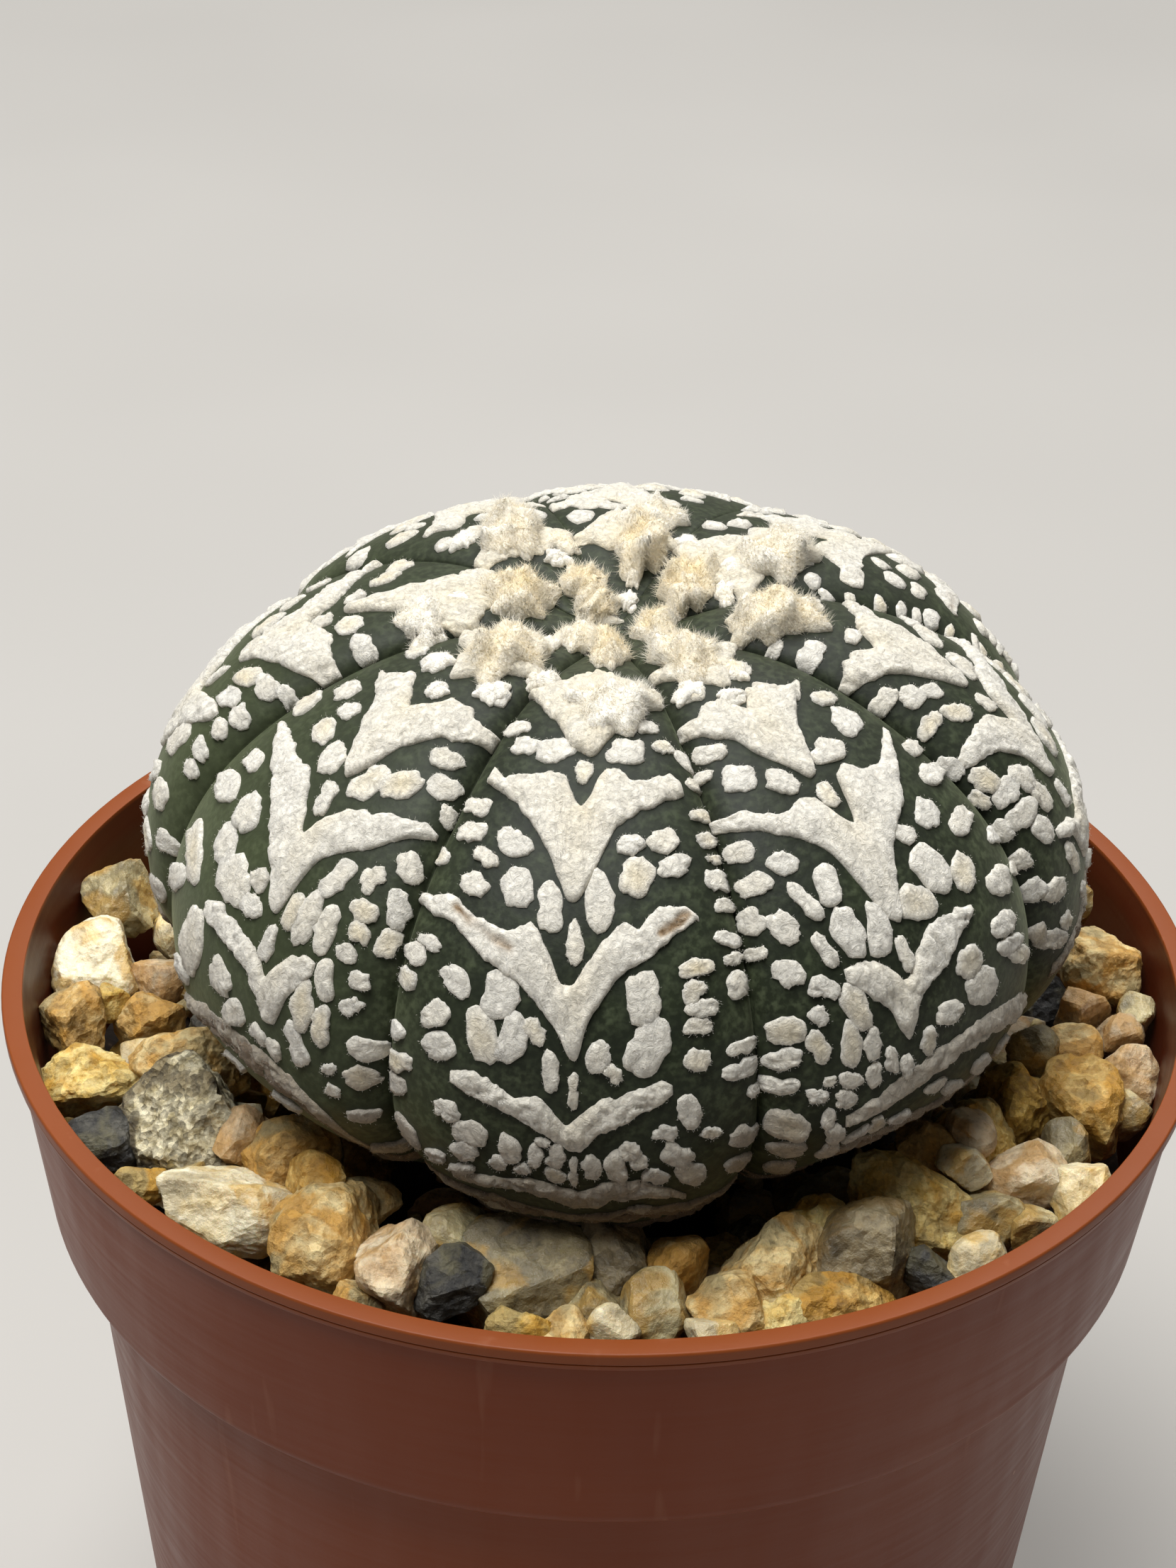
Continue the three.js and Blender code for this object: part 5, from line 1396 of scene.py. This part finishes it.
# Stones that the photograph shows: kind, azimuth in degrees, reach from the pot's axis, length, breadth and
# height in mm, heading of the length, and how far the top stands above the grit's level.
seenStones = [
    ("greyQuartz", -194.5, 30.8, 5, 4.4, 4.4, 80, 3.2), ("creamQuartz", -196, 27, 3.6, 3, 3, 70, .6),
    ("creamQuartz", -184, 30.3, 5.6, 4.8, 5, 90, 2.1), ("pinkFeldspar", -182, 26.6, 3.2, 2.8, 3, 0, 1.4),
    ("ochreGrit", -173.5, 30.7, 4.8, 3.8, 4, 80, 1.8), ("goldenGrit", -175.5, 29.2, 2.6, 2.2, 2.4, 30, 1.4),
    ("ochreGrit", -174.5, 27, 3.8, 3.4, 3.8, 10, 1.2), ("goldenGrit", -162.7, 29.8, 6.2, 4.4, 4.4, 5, 1.9),
    ("creamQuartz", -163, 27.2, 3, 2.8, 3, 0, 1.6), ("ochreGrit", -164, 24.2, 6.8, 5, 5.6, 30, 1.4),
    ("speckledGranite", -153.5, 25, 7.8, 7.2, 8.6, -20, 2), ("darkSlate", -154, 30.3, 4.2, 3.6, 3.6, 0, 1),
    ("goldenGrit", -144.7, 30.3, 2.8, 2.4, 2.6, 40, .5), ("greyQuartz", -144, 28, 3.2, 2.8, 3, 0, .2),
    ("ochreGrit", -140.5, 21.8, 6.6, 4.6, 5.4, 20, .8), ("creamQuartz", -135.5, 27, 8.2, 4.4, 4.6, 12, 1.5),
    ("ochreGrit", -123, 25.5, 7, 6.4, 6.6, 60, 2), ("pinkFeldspar", -114.8, 24.8, 5.6, 4.4, 6.4, 80, 1.3),
    ("darkSlate", -104.8, 26.2, 4.3, 3.3, 3.5, 20, 1.5),
    ("greyQuartz", -100.5, 22.6, 8.6, 6.4, 7.2, -20, 1), ("goldenGrit", -97.5, 28.3, 3.4, 2.6, 2.8, 10, .3),
    ("ochreGrit", -115, 28.9, 3.2, 2.4, 2.6, 40, .4), ("smokyQuartz", -88.6, 21.4, 5.6, 4.8, 6.6, 80, 1),
    ("greyQuartz", -90.5, 25, 3.4, 3, 3.2, 30, -.8), ("ochreGrit", -92, 28.2, 2.8, 2.4, 2.6, 20, .5),
    ("greyQuartz", -83, 26.4, 3.8, 3.2, 3.4, 50, 1.2), ("creamQuartz", -88, 28.3, 2.4, 2, 2.2, 0, .8),
    ("ochreGrit", -79, 22.4, 3.4, 2.8, 3.2, 60, .2), ("ochreGrit", -74.5, 27, 4.8, 3.6, 3.2, 10, 1),
    ("creamQuartz", -78, 28.9, 2.6, 2, 2.2, 0, .5), ("goldenGrit", -70, 28.2, 3.6, 2.8, 3, 20, .6),
    ("ochreGrit", -66.1, 23.7, 6, 5, 5.6, 30, .6), ("goldenGrit", -57.5, 22.6, 3.4, 2.8, 3.6, 30, .6),
    ("smokyQuartz", -53, 25, 5.8, 5, 5.8, 50, 1), ("amberGrit", -62, 28.2, 5.6, 3.4, 3.6, 20, .8),
    ("darkSlate", -52.5, 28.3, 3, 2.6, 2.6, 0, .4), ("creamQuartz", -47.5, 30, 4.2, 2.4, 2.6, 35, .8),
    ("goldenGrit", -44.4, 23.4, 7.4, 4.8, 5.8, -25, 1.3),
    ("greyQuartz", -42.7, 27.4, 4.8, 3.8, 3.8, 0, 1.3),
    ("pinkFeldspar", -33, 27.2, 4.8, 4.2, 4.2, -20, 1.8), ("ochreGrit", -37, 22.6, 4, 3.4, 3.8, 0, 1.2),
    ("creamQuartz", -36, 24.6, 2.8, 2.4, 2.6, 0, 1.6), ("goldenGrit", -29, 24, 6.4, 4.8, 5.4, 20, 1.4),
    ("goldenGrit", -19, 25.9, 5, 4.2, 4.8, 100, 1.9), ("amberGrit", -16.5, 28.9, 5.4, 4.4, 5.2, 110, 2),
    ("pinkFeldspar", -10.5, 31.2, 4, 3.2, 3.6, 85, 1.6), ("greyQuartz", -14.5, 31.3, 2.8, 2.4, 2.6, 0, .2),
    ("greyQuartz", -26, 29.2, 3.4, 2.8, 3.6, 90, 1.4), ("creamQuartz", -32, 31, 4, 2.8, 3.6, 50, 1.7),
    ("greyQuartz", -39, 30.3, 2.8, 2.2, 2.4, 30, .6), ("ochreGrit", -6, 28, 3.6, 3, 3.2, 30, .9),
    ("greyQuartz", -7, 25.4, 3.2, 2.8, 3, 0, .9), ("pinkFeldspar", 1, 28.9, 3.2, 2.8, 3.2, 60, 1.5),
    ("pinkFeldspar", -3.3, 30.8, 3, 2.6, 2.8, 40, 1.3), ("greyQuartz", -1, 32, 2.6, 2, 3, 90, 1.8),
    ("ochreGrit", 6.5, 30.8, 6, 4.6, 5, 95, 3.3), ("greyQuartz", 18, 30.6, 3.4, 3, 3.4, 60, 3.4),
    ("ochreGrit", -128, 21, 3.6, 3, 3, 0, -1.2), ("greyQuartz", -109.5, 21.6, 3.8, 3, 3.6, 0, .6),
]
gritSettings = {
    "seed": 31,
    "level": 60.3,
    "wallRadius": 33.15,
    "bottom": 52.9,
    "innerReach": 25.5,  # stones nearer to the axis stand higher by innerRise, the others by outerRise
    "innerRise": 1.6,
    "outerRise": 0.2,
    "forward": 1.4,  # mm moved to the front for each mm of that rise, so that the picture stays
    "details": [5, 4, 3],  # subdivisions of the ball that a stone is cut from
    "largeStone": 5.5,  # mm, the seen stones longer than this get the finest ball
    "seenRoom": 0.1,  # share of its radius by which a stone stays off the body
    "looseRoom": 0.86,
    "tintRange": 0.5,
    "granules": 420,
    "granuleSides": 6,
    "granuleReach": (12, 31.8),
    "granuleSize": (0.7, 1.7),
    "granuleStretch": (0.75, 1.2),
    "granuleHeight": (53.6, 57.4),
}
# Seeded stones: how many, from which azimuth over how many degrees, size and reach in mm, height of the top
# and share of the size that lies below it, and their lengths as shares of the size.
hiddenRing = {"count": 44, "start": 24, "span": 132, "size": (3.2, 5.6), "reach": (23.5, 31.5),
              "top": 61.8, "frontTop": 61.8, "below": 0.42, "length": (0.95, 1.25), "detail": 1}
plantFoot = {"count": 46, "start": -205, "span": 240, "size": (2.2, 3.4), "reach": (21.4, 23.8),
             "top": 63.2, "frontTop": 61.7, "below": 0.5, "length": (0.95, 1.25), "detail": 2}
underLayer = {"count": 96, "size": (2.8, 4.6), "reach": (11, 31), "height": (54.6, 57.2),
              "length": (0.95, 1.2), "detail": 2}
looseSettings = {"breadth": (0.8, 1), "height": (0.75, 0.95), "heading": (0, 3), "frontWidth": 0.55}
settleSettings = {
    "rounds": 70,
    "touching": 0.84,  # share of two radii at which stones meet
    "step": 0.5,  # share of an overlap taken out in a round
    "fall": 0.05,  # mm in a round
    "held": 0.04,  # share of its shift that a seen stone makes
    "wallTaper": 0.12,  # mm narrower for each mm below wallTop
    "wallTop": 60,
    "wallRoom": 0.9,  # shares of a stone's radius
    "floorRoom": 0.75,
    "mostPush": 3,
    "leastDown": -0.2,
}
cutSettings = {
    "planes": (0.58, 0.88),  # distance of the cut faces
    "size": 0.62,
    "lumps": (1.5, 0.3),  # size of that noise, and the mean taken off it
    "crumbs": 0.75,
    "chips": 0.42,
    "weights": (0.7, 1.0, 0.55),  # of crumbs, lumps and chips
    "fullSize": 4,  # mm, smaller stones crumble less
    "scale": (0.2, 1.2),
    "pitch": 0.35,
}


def ballPattern(detail):
    # Directions and triangles of an icosphere.
    ball = bmesh.new()
    bmesh.ops.create_icosphere(ball, subdivisions=detail, radius=1)
    ball.verts.ensure_lookup_table()
    directions = np.array([v.co[:] for v in ball.verts])
    faces = np.array([[v.index for v in f.verts] for f in ball.faces])
    ball.free()
    return directions, faces


def roughPattern(sides):
    # Directions and triangles of a coarse ball for the finest grains: two poles and three rings of few
    # points.
    tilts, turns = np.radians([45.0, 90.0, 135.0]), 2 * np.pi * np.arange(sides) / sides
    tilt, turn = np.meshgrid(tilts, turns, indexing="ij")
    turn = turn + tilt * 0.5
    rings = np.stack([np.sin(tilt) * np.cos(turn), np.sin(tilt) * np.sin(turn), np.cos(tilt)], -1)
    directions = np.concatenate([rings.reshape(-1, 3), [[0, 0, 1.0], [0, 0, -1.0]]])
    quads = gridFaces(3, sides, wrap=True)[:, ::-1]
    return directions, np.concatenate([
        quads[:, [0, 1, 2]], quads[:, [0, 2, 3]], fanFaces(3 * sides, 0, sides),
        fanFaces(3 * sides + 1, 2 * sides, sides, True)])


def clearOfBody(places, radii, room):
    # Pushes ball centres out of the body until they are room*radius off it: nearest point of the profile's
    # lower part, then along its normal.
    local = unleanBody(places)
    reach = np.hypot(local[:, 0], local[:, 1])
    radius, height, outward = bodyProfile(np.linspace(0.42, 1.0, 90))
    gap = np.hypot(reach[:, None] - radius[None], local[:, 2:3] - height[None])
    near = np.argmin(gap, axis=1)
    away = (reach - radius[near]) * outward[near, 0] + (local[:, 2] - height[near]) * outward[near, 1]
    push = np.clip(radii * room - away, 0, settleSettings["mostPush"])
    local[:, 2] = local[:, 2] + push * np.minimum(outward[near, 1], settleSettings["leastDown"])
    scale = 1 + push * np.maximum(outward[near, 0], 0) / np.maximum(reach, 1)
    local[:, 0], local[:, 1] = local[:, 0] * scale, local[:, 1] * scale
    return leanBody(local)


def settle(places, radii, fixed):
    # Each round parts overlapping balls by half their overlap, then keeps them in the pot and off the body.
    g, k = gritSettings, settleSettings
    room = np.where(fixed, g["seenRoom"], g["looseRoom"])
    for _ in range(k["rounds"]):
        gap = places[:, None] - places[None]
        far = np.linalg.norm(gap, axis=-1) + np.eye(len(places)) * farAway
        overlap = np.maximum(k["touching"] * (radii[:, None] + radii[None]) - far, 0)
        shift = (gap / far[..., None] * overlap[..., None] * 0.5).sum(axis=1) * k["step"]
        shift[:, 2] -= k["fall"]
        shift[fixed] *= k["held"]
        places = clearOfBody(places + shift, radii, room)
        reach = np.hypot(places[:, 0], places[:, 1])
        below = k["wallTop"] - np.minimum(places[:, 2], k["wallTop"])
        allowed = g["wallRadius"] - below * k["wallTaper"] - radii * k["wallRoom"]
        places[:, :2] *= np.minimum(1, allowed / np.maximum(reach, 1e-6))[:, None]
        places[:, 2] = np.maximum(places[:, 2], g["bottom"] + radii * k["floorRoom"])
    return places


def shapeStones(directions, places, axes, headings, random, kind):
    # Radius along a direction D: (1 + sum of max(D.N/d, 0)^p)^(-1/p) over random planes N at distances d, a
    # stone with cut faces, stretched by its three axes, crumbled by noise and turned.
    c, count = cutSettings, len(places)
    planes = unit(random.normal(0, 1, (count, kind["facets"], 3)))
    offsets = random.uniform(*c["planes"], (count, kind["facets"]))
    facing = np.einsum("vk,cfk->cvf", directions, planes) / offsets[:, None, :]
    radius = ((np.maximum(facing, 0) ** kind["sharp"]).sum(-1) + 1.0) ** (-1 / kind["sharp"])
    stones = directions[None] * radius[..., None] * axes[:, None, :] * c["size"]
    keys = stones + random.uniform(0, 400, (count, 1, 3))  # a far place in the noise for each stone
    lumps = np.abs(latticeNoise(keys, c["lumps"][0], 7)) - c["lumps"][1]
    crumbs = layeredNoise(keys, c["crumbs"], 8)
    chips = np.abs(layeredNoise(keys, c["chips"], 9, 2))
    scale = np.clip(axes.mean(axis=1)[:, None] / c["fullSize"], *c["scale"])
    ofCrumbs, ofLumps, ofChips = c["weights"]
    relief = kind["crumble"] * (ofCrumbs * crumbs - ofLumps * lumps - ofChips * chips)
    stones = stones + directions[None] * (scale * relief)[..., None]
    pitch = random.uniform(-c["pitch"], c["pitch"], count)
    x, z = turned(stones[..., 0], stones[..., 2], pitch[:, None])
    x, y = turned(x, stones[..., 1], headings[:, None])
    return np.stack([x, y, z], -1) + places[:, None]


def stoneMaterial(name, kind):
    # Crushed natural grit of that kind: clouded mineral colour with smoky patches and stains, grains of
    # different shade, pits darkened with painted shade, and a dull to glossy break.
    material, tree = newMaterial(name + "Stone")
    grain = 1 / (kind["grain"] * mm)
    place = addNode(tree, "TexCoord").outputs["Object"]
    tint = addNode(tree, "Attribute", attribute_name="tint")
    shifted = addNode(tree, "VectorMath", {0: place, 1: tint.outputs["Vector"]}, operation="ADD").outputs[0]
    cloud = addNode(tree, "TexNoise", {"Vector": shifted, "Scale": grain * 0.5, "Detail": 5.0,
                                       "Roughness": 0.65})
    stains = addNode(tree, "TexNoise", {"Vector": shifted, "Scale": 330.0, "Detail": 4.0, "Distortion": 0.6})
    crystals = addNode(tree, "TexVoronoi", {"Vector": shifted, "Scale": grain * 1.3}, feature="F1")
    pits = addNode(tree, "TexNoise", {"Vector": shifted, "Scale": grain * 2.6, "Detail": 5.0,
                                      "Roughness": 0.7})
    dark, middle, pale, stain, smoky = kind["colours"]
    moved = addNode(tree, "Math", {0: tint.outputs["Fac"], 1: 0.24}, operation="MULTIPLY")
    level = addNode(tree, "Math", {0: cloud.outputs["Fac"], 1: moved.outputs[0]}, operation="ADD")
    colour = addNode(tree, "ValToRGB", {"Fac": level.outputs[0]},
                     stops=[(0.30, dark), (0.66, pale), (0.46, middle)])
    patches = addNode(tree, "TexNoise", {"Vector": shifted, "Scale": 250.0, "Detail": 3.0,
                                         "Distortion": 0.4})
    cloudy = addNode(tree, "ValToRGB", {"Fac": patches.outputs["Fac"]}, stops=[(0.53, 0.0), (0.60, 0.8)])
    smoked = addNode(tree, "Mix", {0: cloudy.outputs["Color"], 6: colour.outputs["Color"],
                                   7: toLinear(smoky)},
                     data_type="RGBA")
    where = addNode(tree, "ValToRGB", {"Fac": stains.outputs["Fac"]}, stops=[(0.50, 0.0), (0.58, 0.85)])
    stained = addNode(tree, "Mix", {0: where.outputs["Color"], 6: smoked.outputs[2], 7: toLinear(stain)},
                      data_type="RGBA")
    grains = addNode(tree, "ValToRGB", {"Fac": crystals.outputs["Color"]}, stops=[(0.2, 0.42), (0.8, 1.18)])
    grained = addNode(tree, "Mix", {0: kind["speckle"], 6: stained.outputs[2], 7: grains.outputs["Color"]},
                      data_type="RGBA", blend_type="MULTIPLY")
    # Painted shade: the pit noise darkens the colour in its hollows.
    paintedPitShade = addNode(tree, "ValToRGB", {"Fac": pits.outputs["Fac"]}, stops=[(0.34, 0.55), (0.50, 1.0)])
    pitShaded = addNode(tree, "Mix", {0: 0.65, 6: grained.outputs[2], 7: paintedPitShade.outputs["Color"]},
                     data_type="RGBA", blend_type="MULTIPLY")
    gloss = addNode(tree, "MapRange", {"Value": pits.outputs["Fac"], 1: 0.35, 2: 0.65,
                                       3: kind["gloss"] + 0.25, 4: kind["gloss"]})
    height = addNode(tree, "Mix", {0: 0.5, 2: crystals.outputs["Distance"], 3: pits.outputs["Fac"]})
    bump = addNode(tree, "Bump", {"Strength": 1.0, "Distance": 0.00035, "Height": height.outputs[0]})
    shader = addNode(tree, "BsdfPrincipled", {
        "Base Color": pitShaded.outputs[2], "Roughness": gloss.outputs[0], "IOR": 1.54,
        "Normal": bump.outputs["Normal"], "Subsurface Weight": kind["clear"],
        "Subsurface Radius": (1.0, 0.75, 0.45), "Subsurface Scale": 0.0010})
    addNode(tree, "OutputMaterial", {"Surface": shader.outputs["BSDF"]})
    return material


def placeStones(random):
    # Seen stones first, then seeded ones: the ring's hidden part, small ones along the plant's foot, and a
    # layer below. Each is (kind, place, axes, heading, detail).
    g, loose = gritSettings, looseSettings
    kindNames = list(gritKinds)
    shares = np.array([kind["share"] for kind in gritKinds.values()])
    stones = []
    for kind, azimuth, reach, length, breadth, height, heading, above in seenStones:
        a = math.radians(azimuth)
        rise = g["innerRise"] if reach < g["innerReach"] else g["outerRise"]
        place = [reach * math.cos(a), reach * math.sin(a) - rise * g["forward"],
                 g["level"] + above + rise - height * 0.5]
        stones.append((kindNames.index(kind), place, [length, breadth, height], math.radians(heading),
                       0 if length > g["largeStone"] else 1))

    def addLoose(azimuth, size, reach, z, group):
        kind = random.choice(len(kindNames), p=shares)
        if z is None:
            z = random.uniform(*group["height"])
        spans = (group["length"], loose["breadth"], loose["height"])
        axes = [size * random.uniform(*span) for span in spans]
        stones.append((kind, [reach * math.cos(azimuth), reach * math.sin(azimuth), z], axes,
                       random.uniform(*loose["heading"]), group["detail"]))

    for group in (hiddenRing, plantFoot):
        for k in range(group["count"]):
            azimuth = math.radians(group["start"] + group["span"] * (k + random.random()) / group["count"])
            size, reach = random.uniform(*group["size"]), random.uniform(*group["reach"])
            atFront = abs(azimuth + math.pi / 2) < loose["frontWidth"]
            top = group["frontTop" if atFront else "top"]
            addLoose(azimuth, size, reach, top - size * group["below"], group)
    nearest, furthest = underLayer["reach"]
    for _ in range(underLayer["count"]):
        azimuth, size = random.uniform(0, 2 * math.pi), random.uniform(*underLayer["size"])
        addLoose(azimuth, size, math.sqrt(random.uniform(nearest ** 2, furthest ** 2)), None, underLayer)
    return (np.array(column) for column in zip(*stones))


def tintsFor(count, points, random):
    # One random tint for each stone, on all of its points.
    most = gritSettings["tintRange"]
    return random.uniform(-most, most, (count, 1)) * np.ones((1, points))


def makeGranules(random):
    # Finest grains, spread evenly over the pot's area between two reaches: reach = sqrt of a random square.
    g, count = gritSettings, gritSettings["granules"]
    directions, faces = roughPattern(g["granuleSides"])
    azimuth = random.uniform(0, 2 * np.pi, count)
    nearest, furthest = g["granuleReach"]
    reach = np.sqrt(random.uniform(nearest ** 2, furthest ** 2, count))
    size = random.uniform(*g["granuleSize"], count)
    height = random.uniform(*g["granuleHeight"], count)
    spots = np.stack([reach * np.cos(azimuth), reach * np.sin(azimuth), height], -1)
    spots = clearOfBody(spots, size / 2, g["looseRoom"])
    sizes = size[:, None] * random.uniform(*g["granuleStretch"], (count, 3))
    headings = random.uniform(*looseSettings["heading"], count)
    grains = shapeStones(directions, spots, sizes, headings, random, gritKinds["ochreGrit"])
    buildPiece("fineGranules", grains.reshape(-1, 3), [repeatFaces(faces, count, len(directions))],
               bpy.data.materials["ochreGritStone"], "gravel",
               {"tint": tintsFor(count, len(directions), random)})


def makeGrit():
    # All stones settle together, then those of a kind are shaped and joined into one piece; the granules
    # come last.
    random = np.random.default_rng(gritSettings["seed"])
    kinds, places, axes, headings, detail = placeStones(random)
    places = settle(places, axes.mean(axis=1) / 2, np.arange(len(kinds)) < len(seenStones))
    patterns = [ballPattern(subdivisions) for subdivisions in gritSettings["details"]]
    for number, (name, kind) in enumerate(gritKinds.items()):
        parts = []
        for layer, (directions, faces) in enumerate(patterns):
            picked = np.where((kinds == number) & (detail == layer))[0]
            if len(picked) == 0:
                continue
            stones = shapeStones(directions, places[picked], axes[picked], headings[picked], random, kind)
            parts.append({"points": stones.reshape(-1, 3),
                          "faces": repeatFaces(faces, len(picked), len(directions)),
                          "tint": tintsFor(len(picked), len(directions), random)})
        points, faces, values = joinParts(parts, ["tint"], ["faces"])
        buildPiece(name, points, faces, stoneMaterial(name, kind), "gravel", values,
                   smooth=False)
    makeGranules(random)


makeGrit()
print("grit made")


stageSettings = {"floorRadius": 6, "floorSides": 96, "roomColour": "#dddad4", "roomStrength": 0.12,
                 "aim": (0, 0, 0.07)}  # metres
lamps = [  # name, place in metres, size and power
    ("keyLight", (-0.24, -0.16, 1.00), 0.60, 12.0),
    ("backLight", (0.08, 0.48, 0.95), 0.8, 8.5),
]


def makeFloor():
    # A wide pale disc, faintly clouded.
    k = stageSettings
    material, tree = newMaterial("paleFloor")
    place = addNode(tree, "TexCoord")
    cloud = addNode(tree, "TexNoise", {"Vector": place.outputs["Object"], "Scale": 9.0, "Detail": 2.0})
    colour = addNode(tree, "ValToRGB", {"Fac": cloud.outputs["Fac"]},
                     stops=[(0.3, "#a9a6a1"), (0.7, "#aeaba6")])
    shader = addNode(tree, "BsdfPrincipled", {"Base Color": colour.outputs["Color"], "Roughness": 0.75})
    addNode(tree, "OutputMaterial", {"Surface": shader.outputs["BSDF"]})
    a = np.linspace(0, 2 * np.pi, k["floorSides"], endpoint=False)
    corners = k["floorRadius"] * np.stack([np.cos(a), np.sin(a), np.zeros(len(a))], -1)
    mesh = bpy.data.meshes.new("paleFloor")
    mesh.from_pydata(corners.tolist(), [], [list(range(len(a)))])
    mesh.materials.append(material)
    floor = addObject("paleFloor", mesh)


def makeLight():
    # A dim pale room, a large soft lamp overhead to the left, and another behind.
    k = stageSettings
    world = bpy.data.worlds.new("paleRoom")
    world.use_nodes = True
    background = world.node_tree.nodes["Background"]
    background.inputs["Color"].default_value = toLinear(k["roomColour"])
    background.inputs["Strength"].default_value = k["roomStrength"]
    bpy.context.scene.world = world
    for name, place, size, power in lamps:
        data = bpy.data.lights.new(name, "AREA")
        data.shape, data.size, data.energy = "DISK", size, power
        lamp = addObject(name, data)
        lamp.location = place
        away = Vector([p - q for p, q in zip(place, k["aim"])])
        lamp.rotation_euler = away.to_track_quat("Z", "Y").to_euler()


makeFloor()
makeLight()
bpy.context.scene.view_settings.view_transform = "Standard"
print("stage made")
